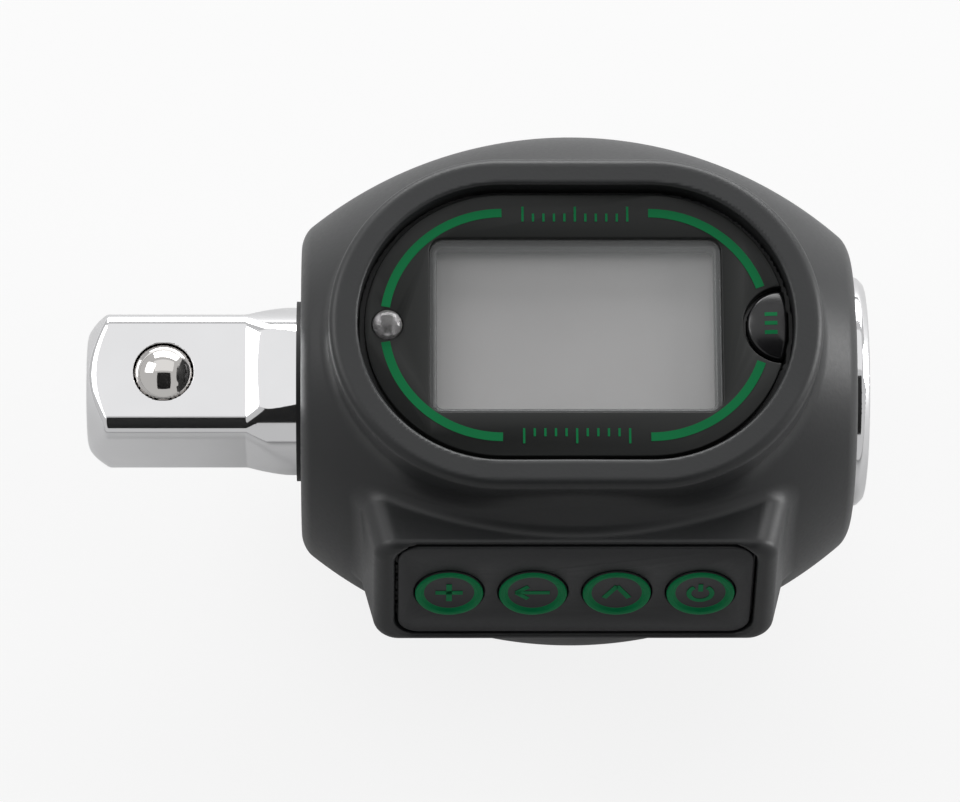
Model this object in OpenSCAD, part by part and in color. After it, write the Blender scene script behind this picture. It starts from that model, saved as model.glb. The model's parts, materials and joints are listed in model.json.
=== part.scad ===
// Digital torque adapter: a half inch drive shaft through a barrel-shaped housing
// with an oval display on top, a four-key pad on the front and a coin cell at the back.
// The shaft lies along X. Every piece is drawn round the shaft's axis and then moved,
// so that the origin is at the middle of the bottom of the bounding box.

/* [Drive] */
// Square drive across its flats
square_w = 12.7; // [9.5:0.1:19.1]
// Female square across its flats
socket_w = 12.85; // [9.6:0.05:19.4]
// Depth of the female square
socket_depth = 16.2; // [10:0.1:26]
// Radius of the round shank, which also trims the square's corners
shank_r = 8.2; // [6:0.1:13]
// Radius of the female end
drum_r = 11.2; // [9:0.1:17]
// From the barrel's middle to the tip of the square
tip_x = 47.1; // [38:0.1:65]
// From the barrel's middle to where the flats start to run out
flat_x = 31.6; // [26:0.1:44]
// From the barrel's middle to the end of the run-out
ramp_x = 27.5; // [24:0.1:40]
// From the barrel's middle to the female end's face
ring_x = 28.7; // [24:0.1:40]
// Length of the cone turned on the tip
tip_cone = 1.9; // [0.5:0.1:3]
// Radius of the tip's flat end
tip_r = 5.5; // [4:0.1:9]
// Edge break of the female end
drum_edge = 0.7; // [0.2:0.1:1.5]
// Radius of the detent ball
ball_r = 3.175; // [2:0.025:5]
// Height of the ball's centre above the axis
ball_z = 4.55; // [3:0.05:7]
// From the barrel's middle to the ball
ball_x = 39.6; // [33:0.1:56]
// Radius of the bevel round the ball
bevel_r = 4.15; // [3:0.05:6]
// Depth of that bevel
bevel_depth = 0.35; // [0.1:0.05:1]
// Height of the lip that holds the ball
lip_t = 0.35; // [0.1:0.05:1]
// Room between ball and bore
ball_gap = 0.08; // [0.02:0.01:0.3]
// Depth of the ball's bore below the ball's middle
bore_depth = 7.6; // [6:0.1:9]
// Thickness of the wire in the detent spring
spring_wire = 0.6; // [0.4:0.1:1]
// Radius of the sensing section between shank and female end
web_r = 7.2; // [5:0.1:10]
// Half distance between the sensing flats
web_flat = 5.9; // [4:0.1:8]
// Left end of the sensing section
web_left = 19.5; // [15:0.1:25]
// Left end of the female drum
drum_left = 6; // [2:0.1:10]
// From the sensing section's ends to its flats
flat_margin = 4; // [2:0.1:7]
// Width of the cone that leads into the female square
lead_w = 1.4; // [0.8:0.1:2.5]
// Radius of the cross hole in the female end
cross_hole_r = 2.6; // [1.5:0.1:3.5]
// Room between the shaft and the housing
shaft_gap = 0.15; // [0.05:0.05:0.5]
// Thickness of the spring rings on the shaft
clip_t = 0.9; // [0.5:0.1:1.5]
// Depth of the grooves for the spring rings
clip_depth = 0.7; // [0.3:0.1:1.2]
// Width of the spring rings
clip_w = 2; // [1.5:0.1:3]
// Depth of the seals' seats in the end walls
seal_depth = 1.7; // [1:0.1:2.3]
// How far the left seal stands out of the housing
seal_lip = 0.5; // [0.2:0.1:1]

/* [Housing] */
// Largest radius of the barrel
barrel_r = 24.9; // [20:0.1:35]
// Radius of the barrel's lengthwise curve
belly_r = 40.5; // [30:0.5:70]
// Barrel's middle to its left face
left_x = 26.2; // [20:0.1:36]
// Barrel's middle to its right face
right_x = 27.3; // [21:0.1:37]
// Rounding of the barrel's end corners
end_round = 1; // [0.4:0.1:2]
// Wall thickness
wall = 2; // [1.2:0.1:3]
// Thickness of the end walls
end_wall = 2.6; // [1.5:0.1:4]
// Height of the parting line below the axis
seam_drop = 12; // [9:0.1:16]
// From the axis to the face that it rests on
rest_drop = 23.4; // [22:0.1:28]
// Height of the battery's boss above the flat back
boss_h = 0.5; // [0.3:0.1:1.5]
// Radius of the round boss on the back
boss_r = 15; // [13:0.1:20]

/* [Display] */
// Half distance between the centres of the oval's two ends
oval_x = 7; // [4:0.1:12]
// Radius of the rim's outside
rim_r = 16.5; // [13:0.1:22]
// Radius of the rim's opening
rim_open_r = 13.7; // [10:0.1:19]
// Height of the rim above the axis
rim_z = 21.7; // [18:0.1:30]
// Slope on the rim's outer edge
rim_edge = 0.9; // [0.3:0.1:2]
// Height of the deck under the faceplate
deck_z = 19.3; // [16:0.1:27]
// Thickness of that deck
deck_t = 1.6; // [1:0.1:3]
// Radius of the faceplate's ends
face_r = 13.1; // [9:0.1:18]
// Thickness of the faceplate
face_t = 1.2; // [0.6:0.1:2]
// Width of the display window
window_w = 27.8; // [20:0.1:40]
// Height of the display window
window_h = 17.4; // [12:0.1:26]
// Corner radius of the display window
window_r = 1.3; // [0.5:0.1:3]
// Width of the ledge under the window pane
window_ledge = 0.7; // [0.3:0.1:1.5]
// Thickness of the window pane
pane_t = 0.9; // [0.4:0.1:1.1]
// From the middle to the indicator lamp
lamp_x = 17.9; // [13:0.1:25]
// Radius of the indicator lamp
lamp_r = 1.4; // [1:0.1:2]
// How deep the lamp's dome starts below the faceplate
lamp_sink = 0.5; // [0:0.1:1]
// From the middle to the centre of the mode button's notch
mode_x = 19.7; // [14:0.1:28]
// Radius of that notch
mode_notch_r = 3.85; // [2.5:0.05:6]
// Gap round the mode button
mode_gap = 0.4; // [0.1:0.05:0.8]
// How far the mode button stands above the faceplate
mode_rise = 0.5; // [0.2:0.1:1]
// Width of the mode button's flange
mode_flange = 0.5; // [0.2:0.1:1]
// Thickness of the mode button's flange
mode_flange_t = 0.5; // [0.3:0.1:1]
// Travel of the mode button
mode_travel = 0.5; // [0.2:0.1:1]
// Radius of the mode button's stem
mode_stem_r = 1.1; // [0.6:0.1:2]
// From the middle to that stem
mode_stem_x = 18.3; // [13:0.1:26]

/* [Keypad] */
// Turn of the keypad from the display, forwards
pad_turn = 69; // [50:1:85]
// From the axis to the keypad block's face
pad_face = 25.3; // [21:0.1:36]
// Half width of the block at its face
pad_half_w = 19; // [15:0.1:27]
// Slope of the block's sides
pad_draft = 13; // [0:1:25]
// From the axis to the level where the block's outline starts
pad_base = 12; // [8:0.5:18]
// Height of the block's upper wall
pad_high = 7.9; // [6:0.1:12]
// Depth of the block's lower wall
pad_low = 7.2; // [5:0.1:11]
// Radius of the block's upright corners
pad_corner = 2.3; // [1:0.1:4]
// Rounding of the block's face
pad_round = 1; // [0.4:0.1:2]
// Half width of the key panel
panel_half_w = 16.9; // [12:0.1:24]
// Upper edge of the key panel
panel_high = 7.2; // [5:0.1:11]
// Lower edge of the key panel
panel_low = 5.9; // [4:0.1:9]
// Corner radius of the key panel
panel_r = 2; // [0.5:0.1:3]
// Thickness of the key panel
panel_t = 1.2; // [0.6:0.1:2]
// How deep the key panel lies below the block's face
panel_sink = 0.3; // [0:0.1:1]
// Gap round the key panel
panel_gap = 0.3; // [0.1:0.05:0.6]
// Distance between the keys
key_pitch = 8; // [6:0.1:11]
// Height of the row of keys on the panel
key_row = 0.4; // [-1:0.1:2]
// Radius of a key
key_r = 3.25; // [2:0.05:4]
// Gap round a key
key_gap = 0.1; // [0.05:0.05:0.3]
// Width of a key's raised ring
key_ring_w = 0.8; // [0.3:0.1:1.2]
// Height of a key's raised ring
key_ring_h = 0.35; // [0.1:0.05:0.6]
// Width of a key's flange under the panel
key_flange = 0.45; // [0.2:0.05:0.6]
// Thickness of that flange
key_flange_t = 0.6; // [0.3:0.1:1]
// Radius of a key's stub
key_stub_r = 1.4; // [0.8:0.1:2]
// Travel of a key
key_travel = 0.4; // [0.2:0.05:0.8]
// Thickness of the frame behind the key panel
pad_frame_t = 2.5; // [1.5:0.1:4]
// Half width of the keypad board
pad_board_half_w = 18.3; // [13:0.1:26]
// Upper edge of the keypad board
pad_board_high = 6.2; // [4:0.1:10]
// Lower edge of the keypad board
pad_board_low = 5.4; // [4:0.1:9]
// Radius of the metal domes
dome_r = 2.3; // [1.5:0.1:3]
// Height of the metal domes
dome_h = 0.3; // [0.2:0.05:0.6]

/* [Battery] */
// Radius of the coin cell
cell_r = 10; // [8:0.1:12.5]
// Thickness of the coin cell
cell_t = 3.2; // [2:0.1:5]
// Radius of the battery cap's flange
cap_r = 12.7; // [11:0.1:16]
// Thickness of that flange
cap_t = 1.5; // [1:0.1:2.5]
// How deep the cap lies inside the boss
cap_sink = 0.2; // [0.1:0.05:0.5]
// Outer radius of the cap's threaded skirt
thread_r = 11.7; // [10:0.1:15]
// Height of that skirt
thread_h = 2; // [1:0.1:3]
// Running gap of the thread
thread_gap = 0.1; // [0.05:0.05:0.3]
// Gap round the cap's flange
cap_gap = 0.3; // [0.1:0.05:0.5]
// Gap round the coin cell
cell_gap = 0.3; // [0.1:0.05:0.5]
// Thickness of the roof over the coin cell
roof_t = 1.2; // [0.8:0.1:2]
// Thickness of the cap's seal
seal_t = 0.4; // [0.2:0.05:0.8]
// Width of the coin slot
slot_w = 2; // [1:0.1:3]
// Half length of the coin slot
slot_half_l = 8; // [5:0.1:11]
// Depth of the coin slot
slot_depth = 0.8; // [0.4:0.1:1.2]
// Height of the contacts over the coin cell
contact_h = 0.9; // [0.4:0.1:2]
// From the middle to the outer contact
contact_x = 9; // [6:0.1:9.4]
// Half length of the outer contact's foot
foot_half_l = 2; // [1:0.1:3]
// Half length of the middle contact's leaf
leaf_half_l = 3; // [2:0.1:5]
// Radius of the sounder
buzzer_r = 4; // [3:0.1:4.5]
// Height of the sounder
buzzer_h = 2; // [1:0.1:3]
// From the middle to the sounder
buzzer_x = 4; // [3.5:0.1:5]
// Radius of the battery wires
wire_r = 0.45; // [0.3:0.05:0.8]
// Distance of the battery wires from the face that the part rests on
loop_drop = 7; // [6.5:0.1:8]
// From the middle to the first battery wire
wire_x = 5.4; // [5:0.1:6]
// Distance between the two battery wires
wire_pitch = 2; // [1.2:0.1:2.5]

/* [Boards and screws] */
// Thickness of the circuit boards
board_t = 1.2; // [0.8:0.1:2]
// Half length of the main board
board_half_l = 19.3; // [14:0.1:27]
// Half width of the main board
board_half_w = 13; // [9:0.1:18]
// Corner radius of the main board
board_round = 4; // [2:0.1:6]
// Distance from the deck to the main board
board_drop = 4; // [3:0.1:6]
// Thickness of the display glass
glass_t = 1.9; // [1:0.1:3]
// Half length of the display glass
glass_half_l = 15.2; // [11:0.1:22]
// Half width of the display glass
glass_half_w = 10.6; // [8:0.1:15]
// Height of the display holder's lip
holder_lip = 0.8; // [0.4:0.1:1.5]
// Thickness of the display holder's walls
holder_t = 1; // [0.6:0.1:2]
// Width of the rubber connector strips
strip_w = 1.6; // [1:0.1:2.5]
// Half length of the rubber connector strips
strip_half_l = 12.5; // [9:0.1:18]
// From the middle to the rubber connector strips
strip_y = 8; // [5:0.1:12]
// Corner radius of the keypad board
board_corner = 1; // [0.5:0.1:2]
// Half width of the flat cable from the keypad
ribbon_half_w = 3; // [2:0.1:5]
// Thickness of the flat cables
ribbon_t = 0.3; // [0.1:0.05:0.5]
// Length of the keypad cable's soldered ends
ribbon_foot = 2.5; // [1.5:0.1:4]
// From the middle to the strain gauges
gauge_x = 6.5; // [5:0.1:9]
// Half length of a strain gauge
gauge_half_l = 3; // [2:0.1:4]
// Half width of a strain gauge
gauge_half_w = 2; // [1:0.1:3]
// Thickness of a strain gauge
gauge_t = 0.15; // [0.05:0.05:0.3]
// Half width of the mode switch
switch_half_w = 1.5; // [1:0.1:2]
// Height of the mode switch's body
switch_h = 2; // [1:0.1:2.5]
// Length of the mode switch's plunger
plunger_l = 1; // [0.5:0.1:1.5]
// Radius of that plunger
plunger_r = 0.9; // [0.5:0.1:1.2]
// Radius of the fixing posts
post_r = 1.9; // [1.2:0.1:3]
// From the middle to the fixing posts, lengthwise
post_x = 17; // [12:0.1:24]
// From the middle to the fixing posts, crosswise
post_y = 11; // [8:0.1:15]
// Radius of the screws
screw_r = 0.9; // [0.6:0.05:1.5]
// Radius of the screw heads
head_r = 1.7; // [1.2:0.1:2.5]
// Height of the screw heads
head_h = 1.1; // [0.6:0.1:1.8]
// Length of the screws under the head
screw_l = 4; // [2.5:0.1:6]
// Radius of the keypad board's screws
pad_screw_r = 0.7; // [0.5:0.05:1]
// Radius of their heads
pad_head_r = 1.3; // [1:0.1:1.8]
// Length of those screws under the head
pad_screw_l = 2.5; // [1.5:0.1:3]
// From the middle to the cover screws, lengthwise
cover_x = 16; // [11:0.1:23]
// From the middle to the cover screws, crosswise
cover_y = 13; // [9:0.1:18]
// Radius of the cover's screw bosses
cover_boss_r = 2.2; // [1.5:0.1:3]
// Height of those bosses above the parting line
cover_boss_h = 7.3; // [5:0.1:9]
// Half thickness of the ribs that tie them to the side walls
rib_half_t = 1; // [0.5:0.1:1.5]
// Depth of the cover below the screw heads' seats
cover_seat = 1.7; // [1:0.1:3]
// Length of the cover screws under the head
cover_screw_l = 7; // [4:0.1:10]
// Width of a screw's cross slot
cross_w = 0.5; // [0.3:0.05:0.8]
// Clearance of the screws
screw_gap = 0.15; // [0.05:0.05:0.4]

/* [Clearances and small sizes] */
// Play between pieces that lie against each other
fit = 0.05; // [0.02:0.01:0.1]
// Gap between pieces that stay apart, and the thickness of foils
thin = 0.3; // [0.1:0.05:0.5]
// Width of narrow ledges and slots
slim = 0.6; // [0.4:0.1:1]
// Room round the keys behind their panel
key_room = 1.2; // [0.6:0.1:2]

/* [Hidden] */
fine = 96;
coarse = 32;
eps = 0.02;
over = 1;
half_turn = 180;
quarter = 90;
half_sq = square_w / 2;
half_socket = socket_w / 2;
belly_off = belly_r - barrel_r;
deck_low = deck_z - deck_t;
face_z = deck_z + face_t;
pad_floor = pad_face - panel_sink - panel_t;
panel_top = pad_face - panel_sink;
frame_low = pad_floor - pad_frame_t;
board_top = deck_low - board_drop;
board_low = board_top - board_t;
cap_low = -rest_drop + cap_sink;
cap_top = cap_low + cap_t;
cell_low = cap_top;
cell_top = cell_low + cell_t;
roof_low = cell_top + contact_h;
roof_top = roof_low + roof_t;
thread_top = cap_top + thread_h;
mode_r = mode_notch_r - mode_gap;
lip_top = half_sq - bevel_depth;
lip_low = lip_top - lip_t;
mouth_r = sqrt(pow(ball_r, 2) - pow(lip_low - ball_z, 2)) + fit;
bore_r = ball_r + ball_gap;
bore_low = ball_z - bore_depth;
spring_r = ball_r - spring_wire;
spring_in = spring_r - spring_wire;
spring_top = ball_z - sqrt(pow(ball_r, 2) - pow(spring_in, 2)) - eps;
clip_left = left_x - end_wall - clip_t;
clip_right = right_x - end_wall - clip_t;
back_flat = rest_drop - boss_h;
boss_top = wall / 2 - sqrt(pow(barrel_r, 2) - pow(boss_r, 2));
loop_r = rest_drop - loop_drop;
seal_left_r = shank_r + seal_depth;
seal_right_r = drum_r + seal_depth / 2;
lamp_top = face_z - lamp_sink;
switch_top = board_top + switch_h + plunger_l;
pad_screw_x = pad_board_half_w - pad_head_r;
key_slot = 3 / 2 * key_pitch + key_r + key_flange + key_gap;
gauge_top = web_flat + gauge_t;
cross_low = head_h / 2;
round_steps = [0, 30, 60, 90];
end_steps = [0, 12, 24, 36];
pad_y = max([for (a = round_steps)
    sin(pad_turn) * (pad_face - pad_round * (1 - sin(a)))
    + cos(pad_turn) * (pad_low - pad_round * (1 - cos(a)))]);
mid_x = (ring_x - tip_x) / 2;
mid_y = (barrel_r - pad_y) / 2;

// Moves a piece from the shaft's axis to the part's frame.
module placed() {
  translate([-mid_x, -mid_y, rest_drop]) children();
}

// Turns a piece drawn up Z so that it lies along X.
module along_x() {
  rotate([quarter, 0, quarter]) children();
}

// Turns a piece from the display's side to the keypad's: X stays, Y runs up the
// panel and Z points out of it.
module on_pad() {
  placed() rotate([pad_turn, 0, 0]) children();
}

// A round bar along X, from one X to another.
module bar(from, to, r) {
  translate([from, 0, 0]) along_x() cylinder(h = to - from, r = r, $fn = fine);
}

// A cone along X, from one X and radius to another.
module taper(from, to, r_from, r_to) {
  translate([from, 0, 0]) along_x()
    cylinder(h = to - from, r1 = r_from, r2 = r_to, $fn = fine);
}

// An upright cylinder at a place.
module peg(x, y, low, high, r) {
  translate([x, y, low]) cylinder(h = high - low, r = r, $fn = fine);
}

// An upright box given by its half sizes and its lower and upper face.
module slab(half_l, half_w, low, high) {
  translate([-half_l, -half_w, low]) cube([2 * half_l, 2 * half_w, high - low]);
}

// A plate with round corners, given by its half width and its two edges.
module plate(half_l, from_y, to_y, low, high, r) {
  translate([0, 0, low]) linear_extrude(high - low) {
    translate([-half_l + r, from_y]) square([2 * (half_l - r), to_y - from_y]);
    translate([-half_l, from_y + r]) square([2 * half_l, to_y - from_y - 2 * r]);
    for (x = [-half_l + r, half_l - r], y = [from_y + r, to_y - r])
      translate([x, y]) circle(r = r, $fn = fine);
  }
}

// An upright oval block.
module oval(r, low, high) {
  for (x = [-oval_x, oval_x]) peg(x, 0, low, high, r);
  translate([-oval_x, -r, low]) cube([2 * oval_x, 2 * r, high - low]);
}

// The corners of one end's outline: a few steps of its rounding, then straight out.
function end_points(side) = let (
    y = side - end_round,
    x = sqrt(pow(belly_r - end_round, 2) - pow(y, 2)) - belly_off,
    last = end_steps[len(end_steps) - 1],
    reach = barrel_r / 2)
  concat(
    [for (a = end_steps) [x + end_round * sin(a), y + end_round * cos(a)]],
    [[x + end_round * sin(last) + reach * cos(last), y + end_round * cos(last) - reach * sin(last)],
      [barrel_r, 0]]);

// Half the barrel's outline with rounded ends, to be turned round the shaft.
module barrel_outline() {
  intersection() {
    translate([-belly_off, 0]) circle(r = belly_r, $fn = 2 * fine);
    union() {
      polygon(concat([[0, 0], [0, right_x]], end_points(right_x)));
      mirror([0, 1]) polygon(concat([[0, 0], [0, left_x]], end_points(left_x)));
    }
  }
}

// The solid barrel.
module barrel() {
  along_x() rotate_extrude($fn = 2 * fine) barrel_outline();
}

// The hollow inside the barrel's walls, up to the deck under the display.
module hollow(inset) {
  intersection() {
    along_x() rotate_extrude($fn = 2 * fine) intersection() {
      translate([-belly_off, 0]) circle(r = belly_r - inset, $fn = 2 * fine);
      translate([0, -left_x + end_wall])
        square([barrel_r, left_x + right_x - 2 * end_wall]);
    }
    slab(tip_x, barrel_r, -back_flat + inset, deck_low);
  }
}

// One layer of the keypad block, for its drafted and rounded form.
module pad_layer(level, inset) {
  half_w = pad_half_w + (pad_face - level) * tan(pad_draft) - inset;
  r = pad_corner - inset;
  for (x = [-half_w + r, half_w - r], y = [-pad_low + inset + r, pad_high - inset - r])
    translate([x, y, level - eps]) cylinder(h = eps, r = r, $fn = coarse);
}

// The keypad block.
module pad_block() {
  rotate([pad_turn, 0, 0]) hull() {
    pad_layer(pad_base, 0);
    for (a = round_steps)
      pad_layer(pad_face - pad_round * (1 - sin(a)), pad_round * (1 - cos(a)));
  }
}

// The rim round the display, with a sloped outer edge.
module rim() {
  oval(rim_r, seam_drop, rim_z - rim_edge);
  for (x = [-oval_x, oval_x]) translate([x, 0, rim_z - rim_edge])
    cylinder(h = rim_edge, r1 = rim_r, r2 = rim_r - rim_edge, $fn = fine);
  translate([-oval_x, 0, 0]) along_x() linear_extrude(2 * oval_x) polygon([
      [-rim_r, rim_z - rim_edge], [-rim_r + rim_edge, rim_z],
      [rim_r - rim_edge, rim_z], [rim_r, rim_z - rim_edge]]);
}

// The steel shaft.
module drive_shaft() {
  color("silver") placed() difference() {
    union() {
      taper(-tip_x, -tip_x + tip_cone, tip_r, shank_r);
      bar(-tip_x + tip_cone, -web_left, shank_r);
      bar(-web_left, drum_left, web_r);
      bar(drum_left, ring_x - drum_edge, drum_r);
      taper(ring_x - drum_edge, ring_x, drum_r, drum_r - drum_edge);
    }
    for (k = [0:3]) rotate([k * quarter, 0, 0])
      translate([0, shank_r + over, 0]) rotate([quarter, 0, 0])
        linear_extrude(2 * (shank_r + over)) polygon([
            [-tip_x - over, half_sq], [-flat_x, half_sq],
            [-ramp_x, shank_r], [-ramp_x, shank_r + over],
            [-tip_x - over, shank_r + over]]);
    for (k = [0:3]) rotate([k * quarter, 0, 0])
      translate([-web_left + flat_margin, -web_r, web_flat])
        cube([web_left + drum_left - 2 * flat_margin, 2 * web_r, web_r]);
    translate([ring_x - socket_depth, -half_socket, -half_socket])
      cube([socket_depth + over, socket_w, socket_w]);
    taper(ring_x - lead_w / 2, ring_x, half_socket, half_socket + lead_w);
    peg(ring_x - socket_depth / 2, 0, 0, drum_r + over, cross_hole_r);
    peg(-ball_x, 0, bore_low, lip_low, bore_r);
    peg(-ball_x, 0, bore_low, lip_top + eps, mouth_r);
    translate([-ball_x, 0, lip_top])
      cylinder(h = bevel_depth + eps, r1 = mouth_r + fit, r2 = bevel_r, $fn = fine);
    difference() {
      bar(-clip_left - clip_t - fit, -clip_left + fit, shank_r + over);
      bar(-clip_left - clip_t - over, -clip_left + over, shank_r - clip_depth);
    }
    difference() {
      bar(clip_right - fit, clip_right + clip_t + fit, drum_r + over);
      bar(clip_right - over, clip_right + clip_t + over, drum_r - clip_depth);
    }
  }
}

// The ball that holds a socket on the square.
module detent_ball() {
  color("gainsboro") placed() translate([-ball_x, 0, ball_z]) sphere(r = ball_r, $fn = fine);
}

// The spring under the ball.
module detent_spring() {
  color("dimgray") placed() difference() {
    peg(-ball_x, 0, bore_low, spring_top, spring_r);
    peg(-ball_x, 0, bore_low - over, spring_top + over, spring_in);
  }
}

// Fixing post with a pilot hole, hanging from the deck.
module deck_posts() {
  for (x = [-post_x, post_x], y = [-post_y, post_y]) intersection() {
    peg(x, y, board_top, deck_low + eps, post_r);
    oval(rim_r - wall / 2, board_top - over, deck_low + over);
  }
}

// Screw bosses of the parting line, tied to the housing's side walls.
module seam_bosses() {
  for (x = [-cover_x, cover_x], y = [-1, 1]) {
    peg(x, y * cover_y, -seam_drop, -seam_drop + cover_boss_h, cover_boss_r);
    intersection() {
      translate([x - rib_half_t, min(y * cover_y, y * barrel_r), -seam_drop])
        cube([2 * rib_half_t, barrel_r - cover_y, cover_boss_h]);
      hollow(wall / 2);
    }
  }
}

// Upper shell with the display's rim and the keypad block.
module main_housing() {
  color("dimgray") placed() difference() {
    union() {
      difference() {
        union() {
          barrel();
          rim();
          pad_block();
        }
        hollow(wall);
        oval(rim_r - wall, board_top, deck_low);
        rotate([pad_turn, 0, 0])
          plate(pad_board_half_w + thin, -pad_board_low - thin, pad_board_high + thin,
            pad_base, frame_low, board_corner);
      }
      deck_posts();
      seam_bosses();
    }
    slab(tip_x, barrel_r + over, -barrel_r - over, -seam_drop);
    oval(rim_open_r, deck_z, barrel_r + over);
    slab(window_w / 2 - window_ledge, window_h / 2 - window_ledge, board_top, rim_z);
    rotate([pad_turn, 0, 0]) {
      plate(panel_half_w + panel_gap, -panel_low - panel_gap, panel_high + panel_gap,
        pad_floor, pad_face + over, panel_r + panel_gap);
      plate(key_slot, key_row - key_r - key_room, key_row + key_r + key_room,
        frame_low - over, pad_floor + over, board_corner);
      for (x = [-pad_screw_x, pad_screw_x])
        peg(x, 0, frame_low - eps, frame_low - board_t + pad_screw_l + thin, pad_screw_r);
    }
    bar(-left_x - over, -left_x + end_wall + over, shank_r + shaft_gap);
    bar(-left_x - over, -left_x + seal_depth, seal_left_r);
    bar(right_x - end_wall - over, right_x + over, drum_r + shaft_gap);
    bar(right_x - seal_depth, right_x + over, seal_right_r);
    peg(-lamp_x, 0, board_top, rim_z, lamp_r + thin);
    intersection() {
      peg(mode_x, 0, deck_z - mode_flange_t - mode_travel - fit, rim_z - over,
        mode_r + mode_flange + thin);
      oval(face_r, board_top, rim_z);
    }
    peg(mode_stem_x, 0, board_top, rim_z - over, mode_stem_r + thin);
    for (x = [-post_x, post_x], y = [-post_y, post_y])
      peg(x, y, board_top - over, board_top + screw_l - board_t + thin, screw_r);
    for (x = [-cover_x, cover_x], y = [-cover_y, cover_y])
      peg(x, y, -seam_drop - over, -seam_drop + cover_screw_l - cover_seat + thin, screw_r);
  }
}

// Lower shell with the battery's round boss, which the part rests on.
module rear_cover() {
  color("dimgray") placed() difference() {
    union() {
      difference() {
        intersection() {
          barrel();
          slab(tip_x, barrel_r, -back_flat, -seam_drop - thin);
        }
        hollow(wall);
      }
      intersection() {
        peg(0, 0, -rest_drop, roof_top, boss_r);
        union() {
          slab(boss_r, boss_r, -rest_drop, boss_top);
          peg(0, 0, -rest_drop, roof_top, cap_r + slim);
        }
      }
      for (x = [-cover_x, cover_x], y = [-cover_y, cover_y]) intersection() {
        peg(x, y, -barrel_r, -seam_drop - thin, cover_boss_r + slim);
        hollow(wall / 2);
      }
    }
    peg(0, 0, -rest_drop - over, cap_top + seal_t, cap_r + cap_gap);
    peg(0, 0, -rest_drop - over, thread_top + thin, thread_r + thread_gap);
    peg(0, 0, -rest_drop - over, roof_low, cell_r + 2 * cell_gap);
    for (x = [-cover_x, cover_x], y = [-cover_y, cover_y]) {
      peg(x, y, -barrel_r - over, -seam_drop - cover_seat, head_r + screw_gap);
      peg(x, y, -barrel_r - over, -seam_drop + over, screw_r + screw_gap);
    }
    for (x = [-contact_x, 0]) translate([x, 0, 0])
      slab(slim, slim, roof_low - over, roof_top + over);
  }
}

// Flat gasket in the parting line.
module cover_gasket() {
  color("black") placed() difference() {
    intersection() {
      barrel();
      slab(tip_x, barrel_r, -seam_drop - thin, -seam_drop);
      slab(left_x - slim, barrel_r - slim, -barrel_r, 0);
    }
    hollow(wall - slim);
    for (x = [-cover_x, cover_x], y = [-cover_y, cover_y])
      peg(x, y, -seam_drop - over, -seam_drop + over, cover_boss_r + slim);
  }
}

// Rubber ring round the shank.
module shaft_seal_left() {
  color("black") placed() difference() {
    union() {
      bar(-left_x, -left_x + seal_depth, seal_left_r);
      bar(-left_x - seal_lip, -left_x + eps, shank_r + slim);
    }
    bar(-left_x - over, -left_x + seal_depth + over, shank_r);
  }
}

// Rubber ring round the female end.
module shaft_seal_right() {
  color("black") placed() difference() {
    bar(right_x - seal_depth, right_x - eps, seal_right_r);
    bar(right_x - seal_depth - over, right_x + over, drum_r);
  }
}

// Open spring ring, seated in a groove of the shaft.
module retaining_ring(from, seat_r) {
  difference() {
    bar(from, from + clip_t, seat_r + clip_w);
    bar(from - over, from + clip_t + over, seat_r);
    translate([from - over, -slim, -seat_r - clip_w - over])
      cube([clip_t + 2 * over, 2 * slim, seat_r + clip_w]);
  }
}

module retaining_ring_left() {
  color("gray") placed() retaining_ring(-clip_left - clip_t, shank_r - clip_depth);
}

module retaining_ring_right() {
  color("gray") placed() retaining_ring(clip_right, drum_r - clip_depth);
}

// Dark printed plate round the display, notched for the mode button.
module faceplate() {
  color("darkslategray") placed() difference() {
    oval(face_r, deck_z, face_z);
    plate(window_w / 2, -window_h / 2, window_h / 2, deck_z - over, face_z + over, window_r);
    peg(-lamp_x, 0, deck_z - over, face_z + over, lamp_r + fit);
    peg(mode_x, 0, deck_z - over, face_z + over, mode_notch_r);
  }
}

// Clear pane in the faceplate's window.
module lcd_window() {
  color("lightgray") placed() plate(window_w / 2 - fit, -window_h / 2 + fit,
    window_h / 2 - fit, deck_z, deck_z + pane_t, window_r - fit);
}

// Display glass, clamped under the deck.
module lcd_panel() {
  color("gray") placed() slab(glass_half_l, glass_half_w, deck_low - glass_t, deck_low);
}

// Frame that holds the display glass and the rubber strips on the board.
module lcd_holder() {
  color("white") placed() difference() {
    slab(glass_half_l + holder_t, glass_half_w + holder_t - slim,
      board_top, deck_low - fit);
    slab(glass_half_l + fit, glass_half_w + fit, deck_low - glass_t, deck_low + over);
    slab(strip_half_l + fit, strip_y + strip_w / 2 + fit, board_top - over, deck_low);
    for (x = [-post_x, post_x], y = [-post_y, post_y])
      peg(x, y, board_top - over, deck_low + over, post_r + thin);
  }
}

// Two rubber strips that join the display glass to the board.
module connector_strips() {
  color("pink") placed() for (y = [-strip_y, strip_y]) translate([0, y, 0])
    slab(strip_half_l, strip_w / 2, board_top, deck_low - glass_t);
}

// Main circuit board.
module main_board() {
  color("green") placed() difference() {
    plate(board_half_l, -board_half_w, board_half_w, board_low, board_top, board_round);
    for (x = [-post_x, post_x], y = [-post_y, post_y])
      peg(x, y, board_low - over, board_top + over, screw_r + screw_gap);
  }
}

// A screw drawn with its head's underside at zero and its tip downwards.
module screw(length, r, head) {
  difference() {
    union() {
      peg(0, 0, 0, head_h, head);
      peg(0, 0, -length, eps, r);
    }
    for (a = [0, quarter]) rotate([0, 0, a])
      slab(head - slim, cross_w / 2, cross_low, head_h + over);
  }
}

// Four screws that hold the main board to the deck's posts.
module board_screws() {
  color("gray") placed() for (x = [-post_x, post_x], y = [-post_y, post_y])
    translate([x, y, board_low]) rotate([half_turn, 0, 0]) screw(screw_l, screw_r, head_r);
}

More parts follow.
